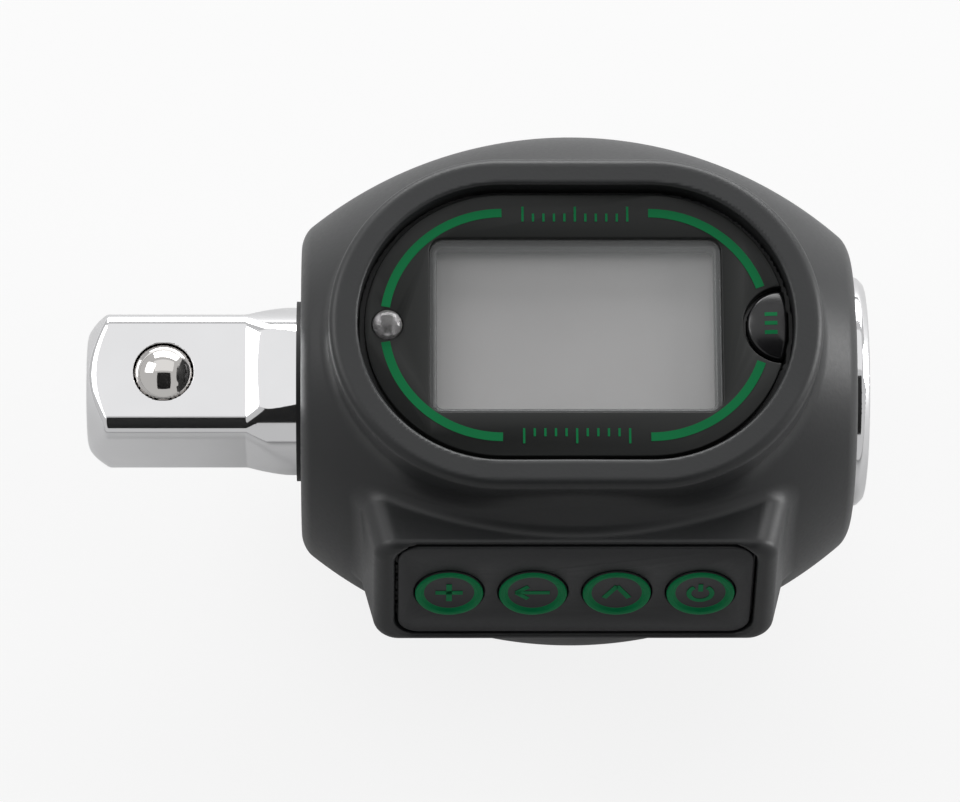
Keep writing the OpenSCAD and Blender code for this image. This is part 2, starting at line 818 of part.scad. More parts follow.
// Round indicator lamp, standing on the board.
module led_lamp() {
  color("white") placed() {
    peg(-lamp_x, 0, board_top, lamp_top, lamp_r);
    intersection() {
      translate([-lamp_x, 0, lamp_top]) sphere(r = lamp_r, $fn = fine);
      peg(-lamp_x, 0, board_top, rim_z + over, lamp_r + over);
    }
  }
}

// Half-moon button at the faceplate's right end.
module mode_button() {
  color("black") placed() {
    intersection() {
      peg(mode_x, 0, deck_z - eps, face_z + mode_rise, mode_r);
      oval(face_r - fit, deck_z - over, rim_z);
    }
    intersection() {
      peg(mode_x, 0, deck_z - mode_flange_t, deck_z, mode_r + mode_flange);
      oval(face_r - thin, deck_z - over, rim_z);
    }
    peg(mode_stem_x, 0, switch_top, deck_z - mode_flange_t + eps, mode_stem_r);
  }
}

// Small switch under the mode button.
module mode_switch() {
  color("silver") placed() {
    translate([board_half_l - switch_half_w, 0, 0])
      slab(switch_half_w, switch_half_w, board_top, board_top + switch_h);
    peg(mode_stem_x, 0, board_top, switch_top - mode_travel - fit, plunger_r);
  }
}

// Flat panel that the four keys come through.
module keypad_panel() {
  color("darkslategray") on_pad() difference() {
    plate(panel_half_w, -panel_low, panel_high, pad_floor, panel_top, panel_r);
    for (k = [0:3])
      peg((k - 3 / 2) * key_pitch, key_row, pad_floor - over, panel_top + over, key_r + key_gap);
  }
}

// One key, counted from the left: cap with a raised ring, flange and stub.
module key(k) {
  on_pad() translate([(k - 3 / 2) * key_pitch, key_row, 0]) {
    difference() {
      peg(0, 0, pad_floor - eps, panel_top + key_ring_h, key_r);
      peg(0, 0, panel_top + fit, panel_top + over, key_r - key_ring_w);
    }
    peg(0, 0, pad_floor - key_flange_t, pad_floor, key_r + key_flange);
    peg(0, 0, frame_low + dome_h + key_travel + fit, pad_floor - key_flange_t + eps, key_stub_r);
  }
}

module plus_key() {
  color("dimgray") key(0);
}

module back_key() {
  color("dimgray") key(1);
}

module peak_key() {
  color("dimgray") key(2);
}

module power_key() {
  color("dimgray") key(3);
}

// Board behind the keys.
module keypad_board() {
  color("green") on_pad() difference() {
    plate(pad_board_half_w, -pad_board_low, pad_board_high,
      frame_low - board_t, frame_low, board_corner);
    for (x = [-pad_screw_x, pad_screw_x])
      peg(x, 0, frame_low - board_t - over, frame_low + over, pad_screw_r + screw_gap);
  }
}

// Four metal domes that the keys press.
module key_domes() {
  color("silver") on_pad() for (k = [0:3])
    peg((k - 3 / 2) * key_pitch, key_row, frame_low, frame_low + dome_h, dome_r);
}

// Two screws that hold the keypad's board.
module keypad_screws() {
  color("gray") on_pad() for (x = [-pad_screw_x, pad_screw_x])
    translate([x, 0, frame_low - board_t]) rotate([half_turn, 0, 0]) screw(pad_screw_l, pad_screw_r, pad_head_r);
}

// Flat cable from the keypad's board to the main board.
module keypad_ribbon() {
  back = frame_low - board_t;
  top = (board_low - back * cos(pad_turn)) / sin(pad_turn);
  edge_y = top * cos(pad_turn) - back * sin(pad_turn);
  color("orange") placed() translate([-ribbon_half_w, 0, 0]) along_x()
    linear_extrude(2 * ribbon_half_w) {
      rotate(pad_turn) translate([top - ribbon_foot, back - ribbon_t])
        square([ribbon_foot, ribbon_t]);
      translate([edge_y, board_low - ribbon_t])
        square([ribbon_foot - board_half_w - edge_y, ribbon_t]);
    }
}

// Four foil gauges on the sensing flats.
module strain_gauges() {
  color("goldenrod") placed() for (k = [0:3]) rotate([k * quarter, 0, 0])
    translate([-gauge_x, 0, 0]) slab(gauge_half_l, gauge_half_w, web_flat, gauge_top);
}

// Bent flat cable from the gauges to the main board.
module gauge_ribbon() {
  bend_r = (board_low - gauge_top) / 2;
  color("orange") placed() translate([-gauge_x - gauge_half_w, 0, 0]) along_x()
    linear_extrude(2 * gauge_half_w) intersection() {
      translate([0, gauge_top + bend_r]) difference() {
        circle(r = bend_r, $fn = fine);
        circle(r = bend_r - ribbon_t, $fn = fine);
      }
      square([barrel_r, barrel_r]);
    }
}

// Round board over the coin cell.
module battery_board() {
  color("green") placed() difference() {
    peg(0, 0, roof_top, roof_top + board_t, cell_r);
    for (x = [-contact_x, 0])
      peg(x, 0, roof_top - over, roof_top + board_t + over, slim);
  }
}

// Sounder on the battery board.
module buzzer() {
  color("black") placed() difference() {
    peg(buzzer_x, 0, roof_top + board_t, roof_top + board_t + buzzer_h, buzzer_r);
    peg(buzzer_x, 0, roof_top + board_t + slim, roof_top + board_t + buzzer_h + over, slim);
  }
}

// Contact on the coin cell's rim.
module contact_positive() {
  color("gold") placed() {
    translate([-contact_x, 0, 0]) {
      slab(thin, thin, cell_top, roof_top + board_t);
      slab(slim, foot_half_l, cell_top, cell_top + thin);
    }
  }
}

// Contact on the middle of the coin cell.
module contact_negative() {
  color("gold") placed() {
    slab(thin, thin, cell_top, roof_top + board_t);
    slab(leaf_half_l, slim, cell_top, cell_top + thin);
  }
}

// Two wires from the battery board, round the shaft, to the main board.
module battery_wires() {
  low_a = asin((roof_top + board_t + wire_r) / loop_r);
  high_a = asin((board_low - wire_r) / loop_r);
  for (x = [-wire_x, -wire_x - wire_pitch]) color("red") placed() translate([x, 0, 0]) along_x()
    rotate([0, 0, low_a]) rotate_extrude(angle = high_a - low_a, $fn = fine)
      translate([loop_r, 0]) circle(r = wire_r, $fn = coarse);
}

// Coin cell with its smaller pole upwards.
module coin_cell() {
  color("lightgray") placed() {
    peg(0, 0, cell_low, cell_top - thin, cell_r);
    peg(0, 0, cell_top - thin - eps, cell_top, cell_r - slim);
  }
}

// Screwed battery cap with a coin slot.
module battery_cap() {
  color("black") placed() difference() {
    union() {
      peg(0, 0, cap_low, cap_top, cap_r);
      peg(0, 0, cap_top - eps, thread_top, thread_r);
    }
    peg(0, 0, cap_top, thread_top + over, cell_r + cell_gap);
    slab(slot_half_l, slot_w / 2, cap_low - over, cap_low + slot_depth);
  }
}

// Seal under the battery cap's flange.
module cap_seal() {
  color("darkred") placed() difference() {
    peg(0, 0, cap_top, cap_top + seal_t - eps, cap_r);
    peg(0, 0, cap_top - over, cap_top + over, thread_r + thread_gap);
  }
}

// Four screws that hold the rear cover.
module cover_screws() {
  color("gray") placed() for (x = [-cover_x, cover_x], y = [-cover_y, cover_y])
    translate([x, y, -seam_drop - cover_seat]) rotate([half_turn, 0, 0]) screw(cover_screw_l, screw_r, head_r);
}

drive_shaft();
detent_ball();
detent_spring();
main_housing();
rear_cover();
cover_gasket();
shaft_seal_left();
shaft_seal_right();
retaining_ring_left();
retaining_ring_right();
faceplate();
lcd_window();
lcd_panel();
lcd_holder();
connector_strips();
main_board();
board_screws();
led_lamp();
mode_button();
mode_switch();
keypad_panel();
plus_key();
back_key();
peak_key();
power_key();
keypad_board();
key_domes();
keypad_screws();
keypad_ribbon();
strain_gauges();
gauge_ribbon();
battery_board();
buzzer();
contact_positive();
contact_negative();
battery_wires();
coin_cell();
battery_cap();
cap_seal();
cover_screws();
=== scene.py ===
"""Looks of the digital torque adapter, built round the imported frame.

Shapes are drawn in millimetres round the shaft's axis, as the part's source does, and
moved to the row frame when their mesh is made. X runs along the shaft, the display faces
up, and the key panel's own frame is X, up the panel (T) and out of it (P).
"""
import itertools
import json
import math

import bmesh
import bpy
import numpy as np
from mathutils import Matrix, Vector

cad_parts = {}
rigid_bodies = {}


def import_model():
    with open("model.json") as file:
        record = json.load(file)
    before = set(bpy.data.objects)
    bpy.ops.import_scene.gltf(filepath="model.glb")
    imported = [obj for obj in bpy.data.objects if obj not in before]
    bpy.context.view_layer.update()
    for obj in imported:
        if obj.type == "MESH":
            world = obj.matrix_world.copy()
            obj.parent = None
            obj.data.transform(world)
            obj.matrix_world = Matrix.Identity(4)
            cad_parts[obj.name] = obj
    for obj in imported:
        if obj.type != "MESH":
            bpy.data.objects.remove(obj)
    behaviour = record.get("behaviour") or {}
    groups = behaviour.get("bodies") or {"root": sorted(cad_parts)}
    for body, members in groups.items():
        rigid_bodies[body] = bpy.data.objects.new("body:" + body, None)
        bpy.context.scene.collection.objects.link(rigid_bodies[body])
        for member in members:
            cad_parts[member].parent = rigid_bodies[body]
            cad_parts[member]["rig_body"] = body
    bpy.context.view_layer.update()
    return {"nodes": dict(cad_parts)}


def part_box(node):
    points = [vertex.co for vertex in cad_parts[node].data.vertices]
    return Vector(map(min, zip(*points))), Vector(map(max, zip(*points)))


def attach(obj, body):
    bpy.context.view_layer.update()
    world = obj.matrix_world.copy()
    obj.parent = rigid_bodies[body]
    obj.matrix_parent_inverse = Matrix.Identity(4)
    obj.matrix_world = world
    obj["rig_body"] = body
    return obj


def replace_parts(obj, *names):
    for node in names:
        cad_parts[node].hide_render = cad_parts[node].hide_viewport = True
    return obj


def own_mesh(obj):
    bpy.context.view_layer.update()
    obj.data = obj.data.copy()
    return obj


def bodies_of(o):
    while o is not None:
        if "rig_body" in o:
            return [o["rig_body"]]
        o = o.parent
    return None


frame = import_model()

# Sizes, mm. OVER is how far a cut runs past what it cuts.
MM = 0.001
OVER = 1.0

# Shaft
TIP_X = 47.1
TIP_R = 5.5
TIP_CONE = 1.9
RING_X = 28.7
SHANK_R = 8.2
SQUARE_HALF = 6.35
FLAT_X = 31.6
RAMP_X = 27.5
WEB_R = 7.2
WEB_FLAT = 5.9
WEB_LEFT = 19.5
FLAT_MARGIN = 4.0
DRUM_R = 11.2
DRUM_LEFT = 6.0
DRUM_EDGE = 0.7
SOCKET_HALF = 6.425
SOCKET_DEPTH = 16.2
LEAD_W = 1.4
CROSS_HOLE_R = 2.6
CLIP_T = 0.95
CLIP_DEPTH = 0.7
CLIP_LEFT = 22.65
CLIP_RIGHT = 23.75

# Detent ball and its bore
BALL_X = 39.6
BALL_Z = 4.55
BALL_R = 3.175
BALL_GAP = 0.08
BORE_DEPTH = 7.6
DISH_R = 4.15
DISH_DEPTH = 0.12
LIP_T = 0.35
LIP_GAP = 0.05
LIP_Z = SQUARE_HALF - DISH_DEPTH - LIP_T
MOUTH_R = math.sqrt(BALL_R ** 2 - (LIP_Z - BALL_Z) ** 2) + LIP_GAP
DISH_SLOPE = (DISH_R - MOUTH_R - LIP_GAP) / DISH_DEPTH

# Barrel and its walls
BARREL_R = 24.89
BELLY_R = 40.49
BELLY_OFF = BELLY_R - BARREL_R
LEFT_X = 26.2
RIGHT_X = 27.3
END_ROUND = 1.0
WALL = 2.0
END_WALL = 2.6
SHAFT_GAP = 0.15
SEAL_W = 1.7
SEAL_DEPTH = 1.7
SEAM_Z = -12.0
SEAM_GAP = 0.3

# Display's rim and what stands in it
OVAL_X = 7.0
RIM_R = 16.5
RIM_OPEN_R = 13.7
RIM_Z = 21.69
RIM_ROUND = 0.9
RIM_FILLET = 0.9
DECK_Z = 19.3
DECK_LOW = 17.7
BOARD_TOP = 13.7
FACE_R = 13.1
FACE_Z = 20.5
WINDOW_HALF_W = 13.9
WINDOW_HALF_H = 8.7
WINDOW_LEDGE = 0.7
WINDOW_CORNER = 0.6
LAMP_X = 17.9
LAMP_R = 1.4
LAMP_GAP = 0.3
LAMP_DOME = 0.9
# The lamp's cup, by radius and height: its floor, its brim and its underside
CUP_UNDER = 18.1
CUP_FLOOR = 18.4
CUP_BRIM = 19.3
LAMP_CUP = ((0.0, CUP_FLOOR), (0.35, CUP_FLOOR), (0.95, CUP_BRIM), (1.05, CUP_BRIM),
            (0.45, CUP_UNDER), (0.0, CUP_UNDER))
POST_X, POST_Y = 17.0, 11.0
POST_R = 1.9
POST_SINK = 0.1
POST_HOLE_LOW = 5.0
POST_HOLE_ROOF = 0.9
THREAD_R = 0.9

# Mode button
MODE_X = 19.7
MODE_R = 3.45
MODE_RISE = 0.5
MODE_GAP = 0.08
MODE_ROUND = 0.25
MODE_ROOM = 0.8
MODE_ROOM_LOW = 18.25
MODE_FLANGE = 0.5
MODE_FLANGE_GAP = 0.3
MODE_FLANGE_T = 0.5
MODE_STEM_X = 18.3
MODE_STEM_R = 1.1
MODE_STEM_GAP = 0.3
MODE_STEM_LOW = 16.7
MODE_STEM_TOP = 18.9
CROWN_R = 8.0
RIDGE_X = MODE_X - 0.55
FACET_TILT = math.radians(15)
FACET_EDGE = 0.1
SINK = 0.02

# Keypad block and keys, in the key panel's frame
PAD_TURN = math.radians(69)
PAD_BASE = 12.0
PAD_FACE = 25.3
PAD_HALF_W = 19.0
PAD_DRAFT = math.radians(13)
PAD_HIGH = 7.9
PAD_LOW = 7.2
PAD_CORNER = 2.3
PAD_ROUND = 1.0
PAD_FILLET = 0.8
PAD_FLOOR = 23.8
POCKET_HALF_W = 18.6
POCKET_HIGH = 6.5
POCKET_LOW = 5.7
BOARD_CORNER = 1.0
FRAME_LOW = 21.3
PANEL_HALF_W = 16.9
PANEL_HIGH = 7.2
PANEL_LOW = 5.9
PANEL_R = 2.0
PANEL_TOP = 25.0
PANEL_GAP = 0.3
KEY_COUNT = 4
KEY_PITCH = 8.0
KEY_ROW = 0.4
KEY_R = 3.25
KEY_ROOM = 1.2
KEY_SLOT = 15.8
KEY_RISE = 0.05
KEY_RING_W = 0.8
KEY_RING_H = 0.35
# The green ring's section: out from its inner or outer edge, and up from the panel
RING_INNER = ((-0.05, KEY_RISE), (0.12, 0.15), (0.25, 0.31), (0.4, KEY_RING_H))
RING_OUTER = ((-0.2, KEY_RING_H), (-0.06, 0.29), (0.0, 0.15))
KEY_FLANGE = 0.45
KEY_FLANGE_T = 0.6
KEY_STEM_R = 1.4
KEY_STEM_LOW = 22.05

# Battery's boss and the screws of the parting line
BACK_Z = -22.9
BACK_ROUND = 0.8
REST_Z = -23.4
BOSS_R = 15.0
BOSS_FILLET = 0.5
BOSS_TOP = WALL / 2 - math.sqrt(BARREL_R ** 2 - BOSS_R ** 2)
CAP_R = 12.7
CAP_GAP = 0.3
CAP_WALL = 0.6
CAP_SEAT = -21.3
CAP_THREAD_R = 11.8
CAP_THREAD_TOP = -19.4
CELL_R = 10.0
CELL_GAP = 0.6
CELL_ROOF = -17.6
ROOF_TOP = -15.6
COVER_X, COVER_Y = 16.0, 13.0
COVER_BOSS_R = 2.8
COVER_HEAD_R = 1.85
COVER_HOLE_R = 1.05
COVER_SEAT = 1.7
SEAM_BOSS_R = 2.2
SEAM_BOSS_H = 7.3
SEAM_HOLE_H = 5.6
RIB_HALF_T = 1.0

# Printed and inlaid marks
INK = 0.04
MARK_SINK = 0.02

# Corners and steps of the grids that the fields are meshed on
HOUSING_GRID = ((-27.5, -27, -13), (28.5, 26, 22.6), 0.3)
COVER_GRID = ((-27.5, -23.5, -24.4), (28.5, 23.5, -11.5), 0.3)
SHAFT_GRID = ((-47.6, -11.6, -11.6), (29.1, 11.6, 11.6), 0.2)
BUTTON_GRID = ((15.5, -4.4, 16.4), (20.6, 4.4, 21.4), 0.12)

# Frame
shaft_low, shaft_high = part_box("drive_shaft")
AXIS = np.array([shaft_low.x + TIP_X * MM,
                 (shaft_low.y + shaft_high.y) / 2, (shaft_low.z + shaft_high.z) / 2])


def placed(points):
    """Points in mm round the shaft's axis, as row frame metres."""
    return np.asarray(points, float).reshape(-1, 3) * MM + AXIS


def from_pad(points):
    """Points of the key panel's frame, moved to the frame of the shaft's axis."""
    x, t, p = np.asarray(points, float).reshape(-1, 3).T
    c, s = math.cos(PAD_TURN), math.sin(PAD_TURN)
    return np.stack([x, t * c - p * s, t * s + p * c], 1)


def body_of(node):
    """The body that a CAD node rides on."""
    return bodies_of(frame["nodes"][node])[0]


def linked(name, data):
    """A new object in the scene."""
    obj = bpy.data.objects.new(name, data)
    bpy.context.scene.collection.objects.link(obj)
    return obj


# Distance fields
def join(a, b, r):
    """Both bodies, with a fillet of radius r where they meet."""
    return np.maximum(r, np.minimum(a, b)) - np.hypot(np.maximum(r - a, 0), np.maximum(r - b, 0))


def meet(a, b, r):
    """What both bodies share, with its edge rounded by r."""
    return np.minimum(-r, np.maximum(a, b)) + np.hypot(np.maximum(r + a, 0), np.maximum(r + b, 0))


def cut(a, b, r):
    """The first body without the second, with the edge rounded by r."""
    return meet(a, -b, r)


def between(value, low, high):
    """Negative from low to high."""
    return np.maximum(low - value, value - high)


def rod(u, v, cu, cv, r):
    """Endless round rod."""
    return np.hypot(u - cu, v - cv) - r


def oval(x, y, r):
    """Endless upright rod with the outline of the display's rim."""
    return np.hypot(np.maximum(np.abs(x) - OVAL_X, 0), y) - r


def rounded_box(u, v, half_u, low_v, high_v, r):
    """Endless bar with rounded corners."""
    a = np.abs(u) - half_u + r
    b = np.abs(v - (low_v + high_v) / 2) - (high_v - low_v) / 2 + r
    return np.hypot(np.maximum(a, 0), np.maximum(b, 0)) + np.minimum(np.maximum(a, b), 0) - r


def pad_frame(y, z):
    """Places up the key panel (T) and out of it (P)."""
    c, s = math.cos(PAD_TURN), math.sin(PAD_TURN)
    return y * c + z * s, -y * s + z * c


def barrel(x, y, z):
    """Bellied barrel with rounded ends."""
    side = np.hypot(x, np.hypot(y, z) + BELLY_OFF) - BELLY_R
    return meet(side, between(x, -LEFT_X, RIGHT_X), END_ROUND)


def hollow(x, y, z, inset):
    """The barrel's inside, between its end walls and under the deck."""
    side = np.hypot(x, np.hypot(y, z) + BELLY_OFF) - BELLY_R + inset
    ends = between(x, -LEFT_X + END_WALL, RIGHT_X - END_WALL)
    return np.maximum(np.maximum(side, ends), between(z, BACK_Z + inset, DECK_LOW))


def pad_block(x, y, z):
    """Keypad block with drafted sides."""
    t, p = pad_frame(y, z)
    spread = (PAD_FACE - p) * math.tan(PAD_DRAFT)
    side = rounded_box(x / (1 + spread / PAD_HALF_W), t, PAD_HALF_W, -PAD_LOW, PAD_HIGH, PAD_CORNER)
    return np.maximum(meet(side * math.cos(PAD_DRAFT), p - PAD_FACE, PAD_ROUND), PAD_BASE - p)


def outer_housing(x, y, z):
    """Barrel, display rim and keypad block, with fillets where they meet."""
    rim = meet(oval(x, y, RIM_R), z - RIM_Z, RIM_ROUND)
    d = join(barrel(x, y, z), np.maximum(rim, -z), RIM_FILLET)
    return join(d, pad_block(x, y, z), PAD_FILLET)


def board_posts(d, x, y, z):
    """The housing with the main board's four screw posts."""
    hole_z = between(z, DECK_LOW - POST_HOLE_LOW, DECK_LOW - POST_HOLE_ROOF)
    for px, py in itertools.product((-POST_X, POST_X), (-POST_Y, POST_Y)):
        post = np.maximum(rod(x, y, px, py, POST_R), oval(x, y, RIM_R - WALL / 2))
        d = np.minimum(d, np.maximum(post, between(z, BOARD_TOP, DECK_LOW + POST_SINK)))
        d = np.maximum(d, -np.maximum(rod(x, y, px, py, THREAD_R), hole_z))
    return d


def seam_bosses(d, x, y, z):
    """The housing with the cover's four screw bosses, tied to its side walls."""
    for px, side in itertools.product((-COVER_X, COVER_X), (-1, 1)):
        boss = rod(x, y, px, side * COVER_Y, SEAM_BOSS_R)
        rib = np.maximum(np.abs(x - px) - RIB_HALF_T, COVER_Y - side * y)
        rib = np.maximum(rib, hollow(x, y, z, WALL / 2))
        d = np.minimum(d, np.maximum(np.minimum(boss, rib), between(z, SEAM_Z, SEAM_Z + SEAM_BOSS_H)))
        d = np.maximum(d, -np.maximum(rod(x, y, px, side * COVER_Y, THREAD_R), z - SEAM_Z - SEAM_HOLE_H))
    return d


def keypad_cuts(x, y, z):
    """The key panel's recess, with its rounding, and the keys' slot."""
    t, p = pad_frame(y, z)
    panel = rounded_box(x, t, PANEL_HALF_W + PANEL_GAP, -PANEL_LOW - PANEL_GAP, PANEL_HIGH + PANEL_GAP,
                        PANEL_R + PANEL_GAP)
    slot = rounded_box(x, t, KEY_SLOT, KEY_ROW - KEY_R - KEY_ROOM, KEY_ROW + KEY_R + KEY_ROOM,
                       BOARD_CORNER)
    slot = np.maximum(slot, between(p, FRAME_LOW - OVER, PAD_FLOOR + OVER))
    return np.maximum(panel, PAD_FLOOR - p), slot


def shaft_openings(x, y, z):
    """Holes of both ends, each with its seal's seat."""
    radius = np.hypot(y, z)
    left = np.maximum(radius - SHANK_R - SHAFT_GAP, x + LEFT_X - END_WALL - OVER)
    left = np.minimum(left, np.maximum(radius - SHANK_R - SEAL_DEPTH, x + LEFT_X - SEAL_W))
    right = np.maximum(radius - DRUM_R - SHAFT_GAP, RIGHT_X - END_WALL - OVER - x)
    right = np.minimum(right, np.maximum(radius - DRUM_R - SEAL_DEPTH / 2, RIGHT_X - SEAL_W - x))
    return np.minimum(left, right)


def deck_holes(x, y, z):
    """Holes of the lamp and the mode button in the deck under the faceplate."""
    lamp = np.maximum(rod(x, y, -LAMP_X, 0, LAMP_R + LAMP_GAP), BOARD_TOP - z)
    button = np.maximum(rod(x, y, MODE_X, 0, MODE_R + MODE_ROOM), oval(x, y, FACE_R))
    button = np.maximum(button, MODE_ROOM_LOW - z)
    stem = np.maximum(rod(x, y, MODE_STEM_X, 0, MODE_STEM_R + MODE_STEM_GAP), BOARD_TOP - z)
    return np.minimum(lamp, np.minimum(button, stem))


def housing_field(x, y, z):
    """Upper shell: barrel, display rim and keypad block, with what is cut from them."""
    edge, fine = 0.35, 0.2
    t, p = pad_frame(y, z)
    under_rim = np.maximum(oval(x, y, RIM_R - WALL), between(z, BOARD_TOP, DECK_LOW))
    d = cut(outer_housing(x, y, z), np.minimum(hollow(x, y, z, WALL), under_rim), fine)
    pocket = rounded_box(x, t, POCKET_HALF_W, -POCKET_LOW, POCKET_HIGH, BOARD_CORNER)
    d = cut(d, np.maximum(pocket, between(p, PAD_BASE, FRAME_LOW)), fine)
    d = seam_bosses(board_posts(d, x, y, z), x, y, z)
    d = cut(d, np.maximum(oval(x, y, RIM_OPEN_R), DECK_Z - z), edge)
    window = rounded_box(x, y, WINDOW_HALF_W - WINDOW_LEDGE, WINDOW_LEDGE - WINDOW_HALF_H,
                         WINDOW_HALF_H - WINDOW_LEDGE, WINDOW_CORNER)
    d = cut(d, np.maximum(window, BOARD_TOP - z), fine)
    panel, slot = keypad_cuts(x, y, z)
    d = cut(cut(d, panel, edge), slot, fine)
    d = cut(d, shaft_openings(x, y, z), fine)
    return cut(np.maximum(d, -deck_holes(x, y, z)), z - SEAM_Z, fine)


def cover_field(x, y, z):
    """Lower shell with the battery's round boss."""
    edge, fine = 0.4, 0.2
    radius = np.hypot(x, y)
    top = z - SEAM_Z + SEAM_GAP
    d = meet(barrel(x, y, z), BACK_Z - z, BACK_ROUND)
    d = cut(d, hollow(x, y, z, WALL), fine)
    boss = meet(radius - BOSS_R, REST_Z - z, edge)
    d = join(d, np.maximum(boss, z - BOSS_TOP), BOSS_FILLET)
    d = np.minimum(d, np.maximum(radius - CAP_R - CAP_WALL, between(z, REST_Z + OVER, ROOF_TOP)))
    for px, py in itertools.product((-COVER_X, COVER_X), (-COVER_Y, COVER_Y)):
        boss = np.maximum(rod(x, y, px, py, COVER_BOSS_R), top)
        d = np.minimum(d, np.maximum(boss, hollow(x, y, z, WALL / 2)))
        d = cut(d, np.maximum(rod(x, y, px, py, COVER_HEAD_R), z - SEAM_Z + COVER_SEAT), fine)
        d = np.maximum(d, -rod(x, y, px, py, COVER_HOLE_R))
    d = cut(d, np.maximum(radius - CAP_R - CAP_GAP, z - CAP_SEAT), edge)
    d = cut(d, np.maximum(radius - CAP_THREAD_R, z - CAP_THREAD_TOP), fine)
    d = np.maximum(d, -np.maximum(radius - CELL_R - CELL_GAP, z - CELL_ROOF))
    return meet(d, top, fine)


def surface(field, low, high, step):
    """Points, quads and normals of a field's zero level, by surface nets."""
    low, high = np.array(low, float), np.array(high, float)
    count = np.ceil((high - low) / step).astype(int) + 1
    lines = [low[k] + step * np.arange(count[k]) for k in range(3)]
    values = np.empty(count, np.float32)
    layers, probes, rounds, least_slope, tiny = 16, 12, 3, 0.25, 1e-6
    for start in range(0, count[0], layers):
        grid = np.meshgrid(lines[0][start:start + layers], lines[1], lines[2], indexing="ij")
        values[start:start + layers] = field(*grid)
    inside = values < 0
    corners = list(itertools.product((0, 1), repeat=3))

    def shifted(array, offset):
        return array[tuple(slice(o, o + n - 1) for o, n in zip(offset, count))]

    filled = sum(shifted(inside, c).astype(np.int8) for c in corners)
    active = (filled > 0) & (filled < 8)
    cells = np.argwhere(active)
    number = np.full(active.shape, -1, np.int64)
    number[active] = np.arange(len(cells))
    corner = {c: values[tuple((cells + c).T)] for c in corners}
    total, hits = np.zeros((len(cells), 3)), np.zeros(len(cells))
    for axis in range(3):
        for pair in itertools.product((0, 1), repeat=2):
            start = list(pair)
            start.insert(axis, 0)
            end = list(pair)
            end.insert(axis, 1)
            a, b = corner[tuple(start)], corner[tuple(end)]
            crosses = (a < 0) != (b < 0)
            share = np.where(crosses, a / np.where(crosses, a - b, 1), 0)
            place = np.tile(np.array(start, float), (len(cells), 1))
            place[:, axis] = share
            total += place * crosses[:, None]
            hits += crosses
    points = low + step * (cells + total / hits[:, None])
    quads = []
    for axis in range(3):
        b, c = (axis + 1) % 3, (axis + 2) % 3
        first = [slice(None)] * 3
        second = [slice(None)] * 3
        first[axis], second[axis] = slice(None, -1), slice(1, None)
        at = np.argwhere(inside[tuple(first)] != inside[tuple(second)])
        at = at[(at[:, b] > 0) & (at[:, c] > 0) & (at[:, b] < count[b] - 1) & (at[:, c] < count[c] - 1)]
        ring = []
        for db, dc in ((-1, -1), (0, -1), (0, 0), (-1, 0)):
            cell = at.copy()
            cell[:, b] += db
            cell[:, c] += dc
            ring.append(number[tuple(cell.T)])
        ring = np.stack(ring, 1)
        outward = inside[tuple(at.T)]
        quads.append(np.where(outward[:, None], ring, ring[:, ::-1]))
    quads = np.concatenate(quads)

    def gradient(p):
        reach = step / probes
        parts = []
        for k in range(3):
            ahead, behind = p.copy(), p.copy()
            ahead[:, k] += reach
            behind[:, k] -= reach
            parts.append((field(*ahead.T) - field(*behind.T)) / (2 * reach))
        return np.stack(parts, 1)

    for _ in range(rounds):
        slope = gradient(points)
        size = np.maximum((slope * slope).sum(1), least_slope)
        move = slope * (field(*points.T) / size)[:, None]
        points -= np.clip(move, -step / 2, step / 2)
    normals = gradient(points)
    normals /= np.maximum(np.linalg.norm(normals, axis=1, keepdims=True), tiny)
    return points, quads, normals


# Meshes
def add_mesh(name, points, faces, materials, body, normals=None, indices=None, smooth=True):
    """A piece from points in row frame metres, riding on a body."""
    mesh = bpy.data.meshes.new(name)
    mesh.from_pydata(np.asarray(points).tolist(), [], [list(map(int, f)) for f in faces])
    for m in materials:
        mesh.materials.append(m)
    if indices is not None:
        mesh.polygons.foreach_set("material_index", np.asarray(indices, np.int32))
    mesh.polygons.foreach_set("use_smooth", [smooth] * len(mesh.polygons))
    mesh.validate()
    if normals is not None:
        mesh.normals_split_custom_set_from_vertices(np.asarray(normals).tolist())
    mesh.update()
    obj = linked(name, mesh)
    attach(obj, body)
    return obj


def field_piece(name, node, field, grid, finish):
    """A field's surface that stands for a CAD node."""
    points, quads, normals = surface(field, *grid)
    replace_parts(add_mesh(name, placed(points), quads, [finish], body_of(node), normals), node)


def bevelled(node, finish, width):
    """A copy of a CAD node with its edges rounded, standing for it."""
    weld, flat, sharp = 1e-7, math.radians(0.5), math.radians(30)
    mesh = frame["nodes"][node].data.copy()
    mesh.materials.clear()
    mesh.materials.append(finish)
    bm = bmesh.new()
    bm.from_mesh(mesh)
    bmesh.ops.remove_doubles(bm, verts=bm.verts, dist=weld)
    bmesh.ops.dissolve_limit(bm, angle_limit=flat, verts=bm.verts, edges=bm.edges)
    for f in bm.faces:
        f.material_index = 0
        f.smooth = True
    bm.to_mesh(mesh)
    bm.free()
    obj = linked(node + "_finished", mesh)
    bevel = obj.modifiers.new("edge", "BEVEL")
    bevel.width = width * MM
    bevel.segments = 2
    bevel.limit_method = "ANGLE"
    bevel.angle_limit = sharp
    bevel.harden_normals = True
    bevel.use_clamp_overlap = True
    bpy.context.view_layer.update()
    final = bpy.data.meshes.new_from_object(obj.evaluated_get(bpy.context.evaluated_depsgraph_get()))
    obj.modifiers.clear()
    obj.data = final
    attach(obj, body_of(node))
    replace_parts(obj, node)


def sharpen(obj):
    """Keeps a piece's steep edges crisp."""
    weld, sharp = 1e-7, math.radians(35)
    bm = bmesh.new()
    bm.from_mesh(obj.data)
    bmesh.ops.remove_doubles(bm, verts=bm.verts, dist=weld)
    for e in bm.edges:
        if len(e.link_faces) == 2 and e.calc_face_angle(0) > sharp:
            e.smooth = False
    bm.to_mesh(obj.data)
    bm.free()


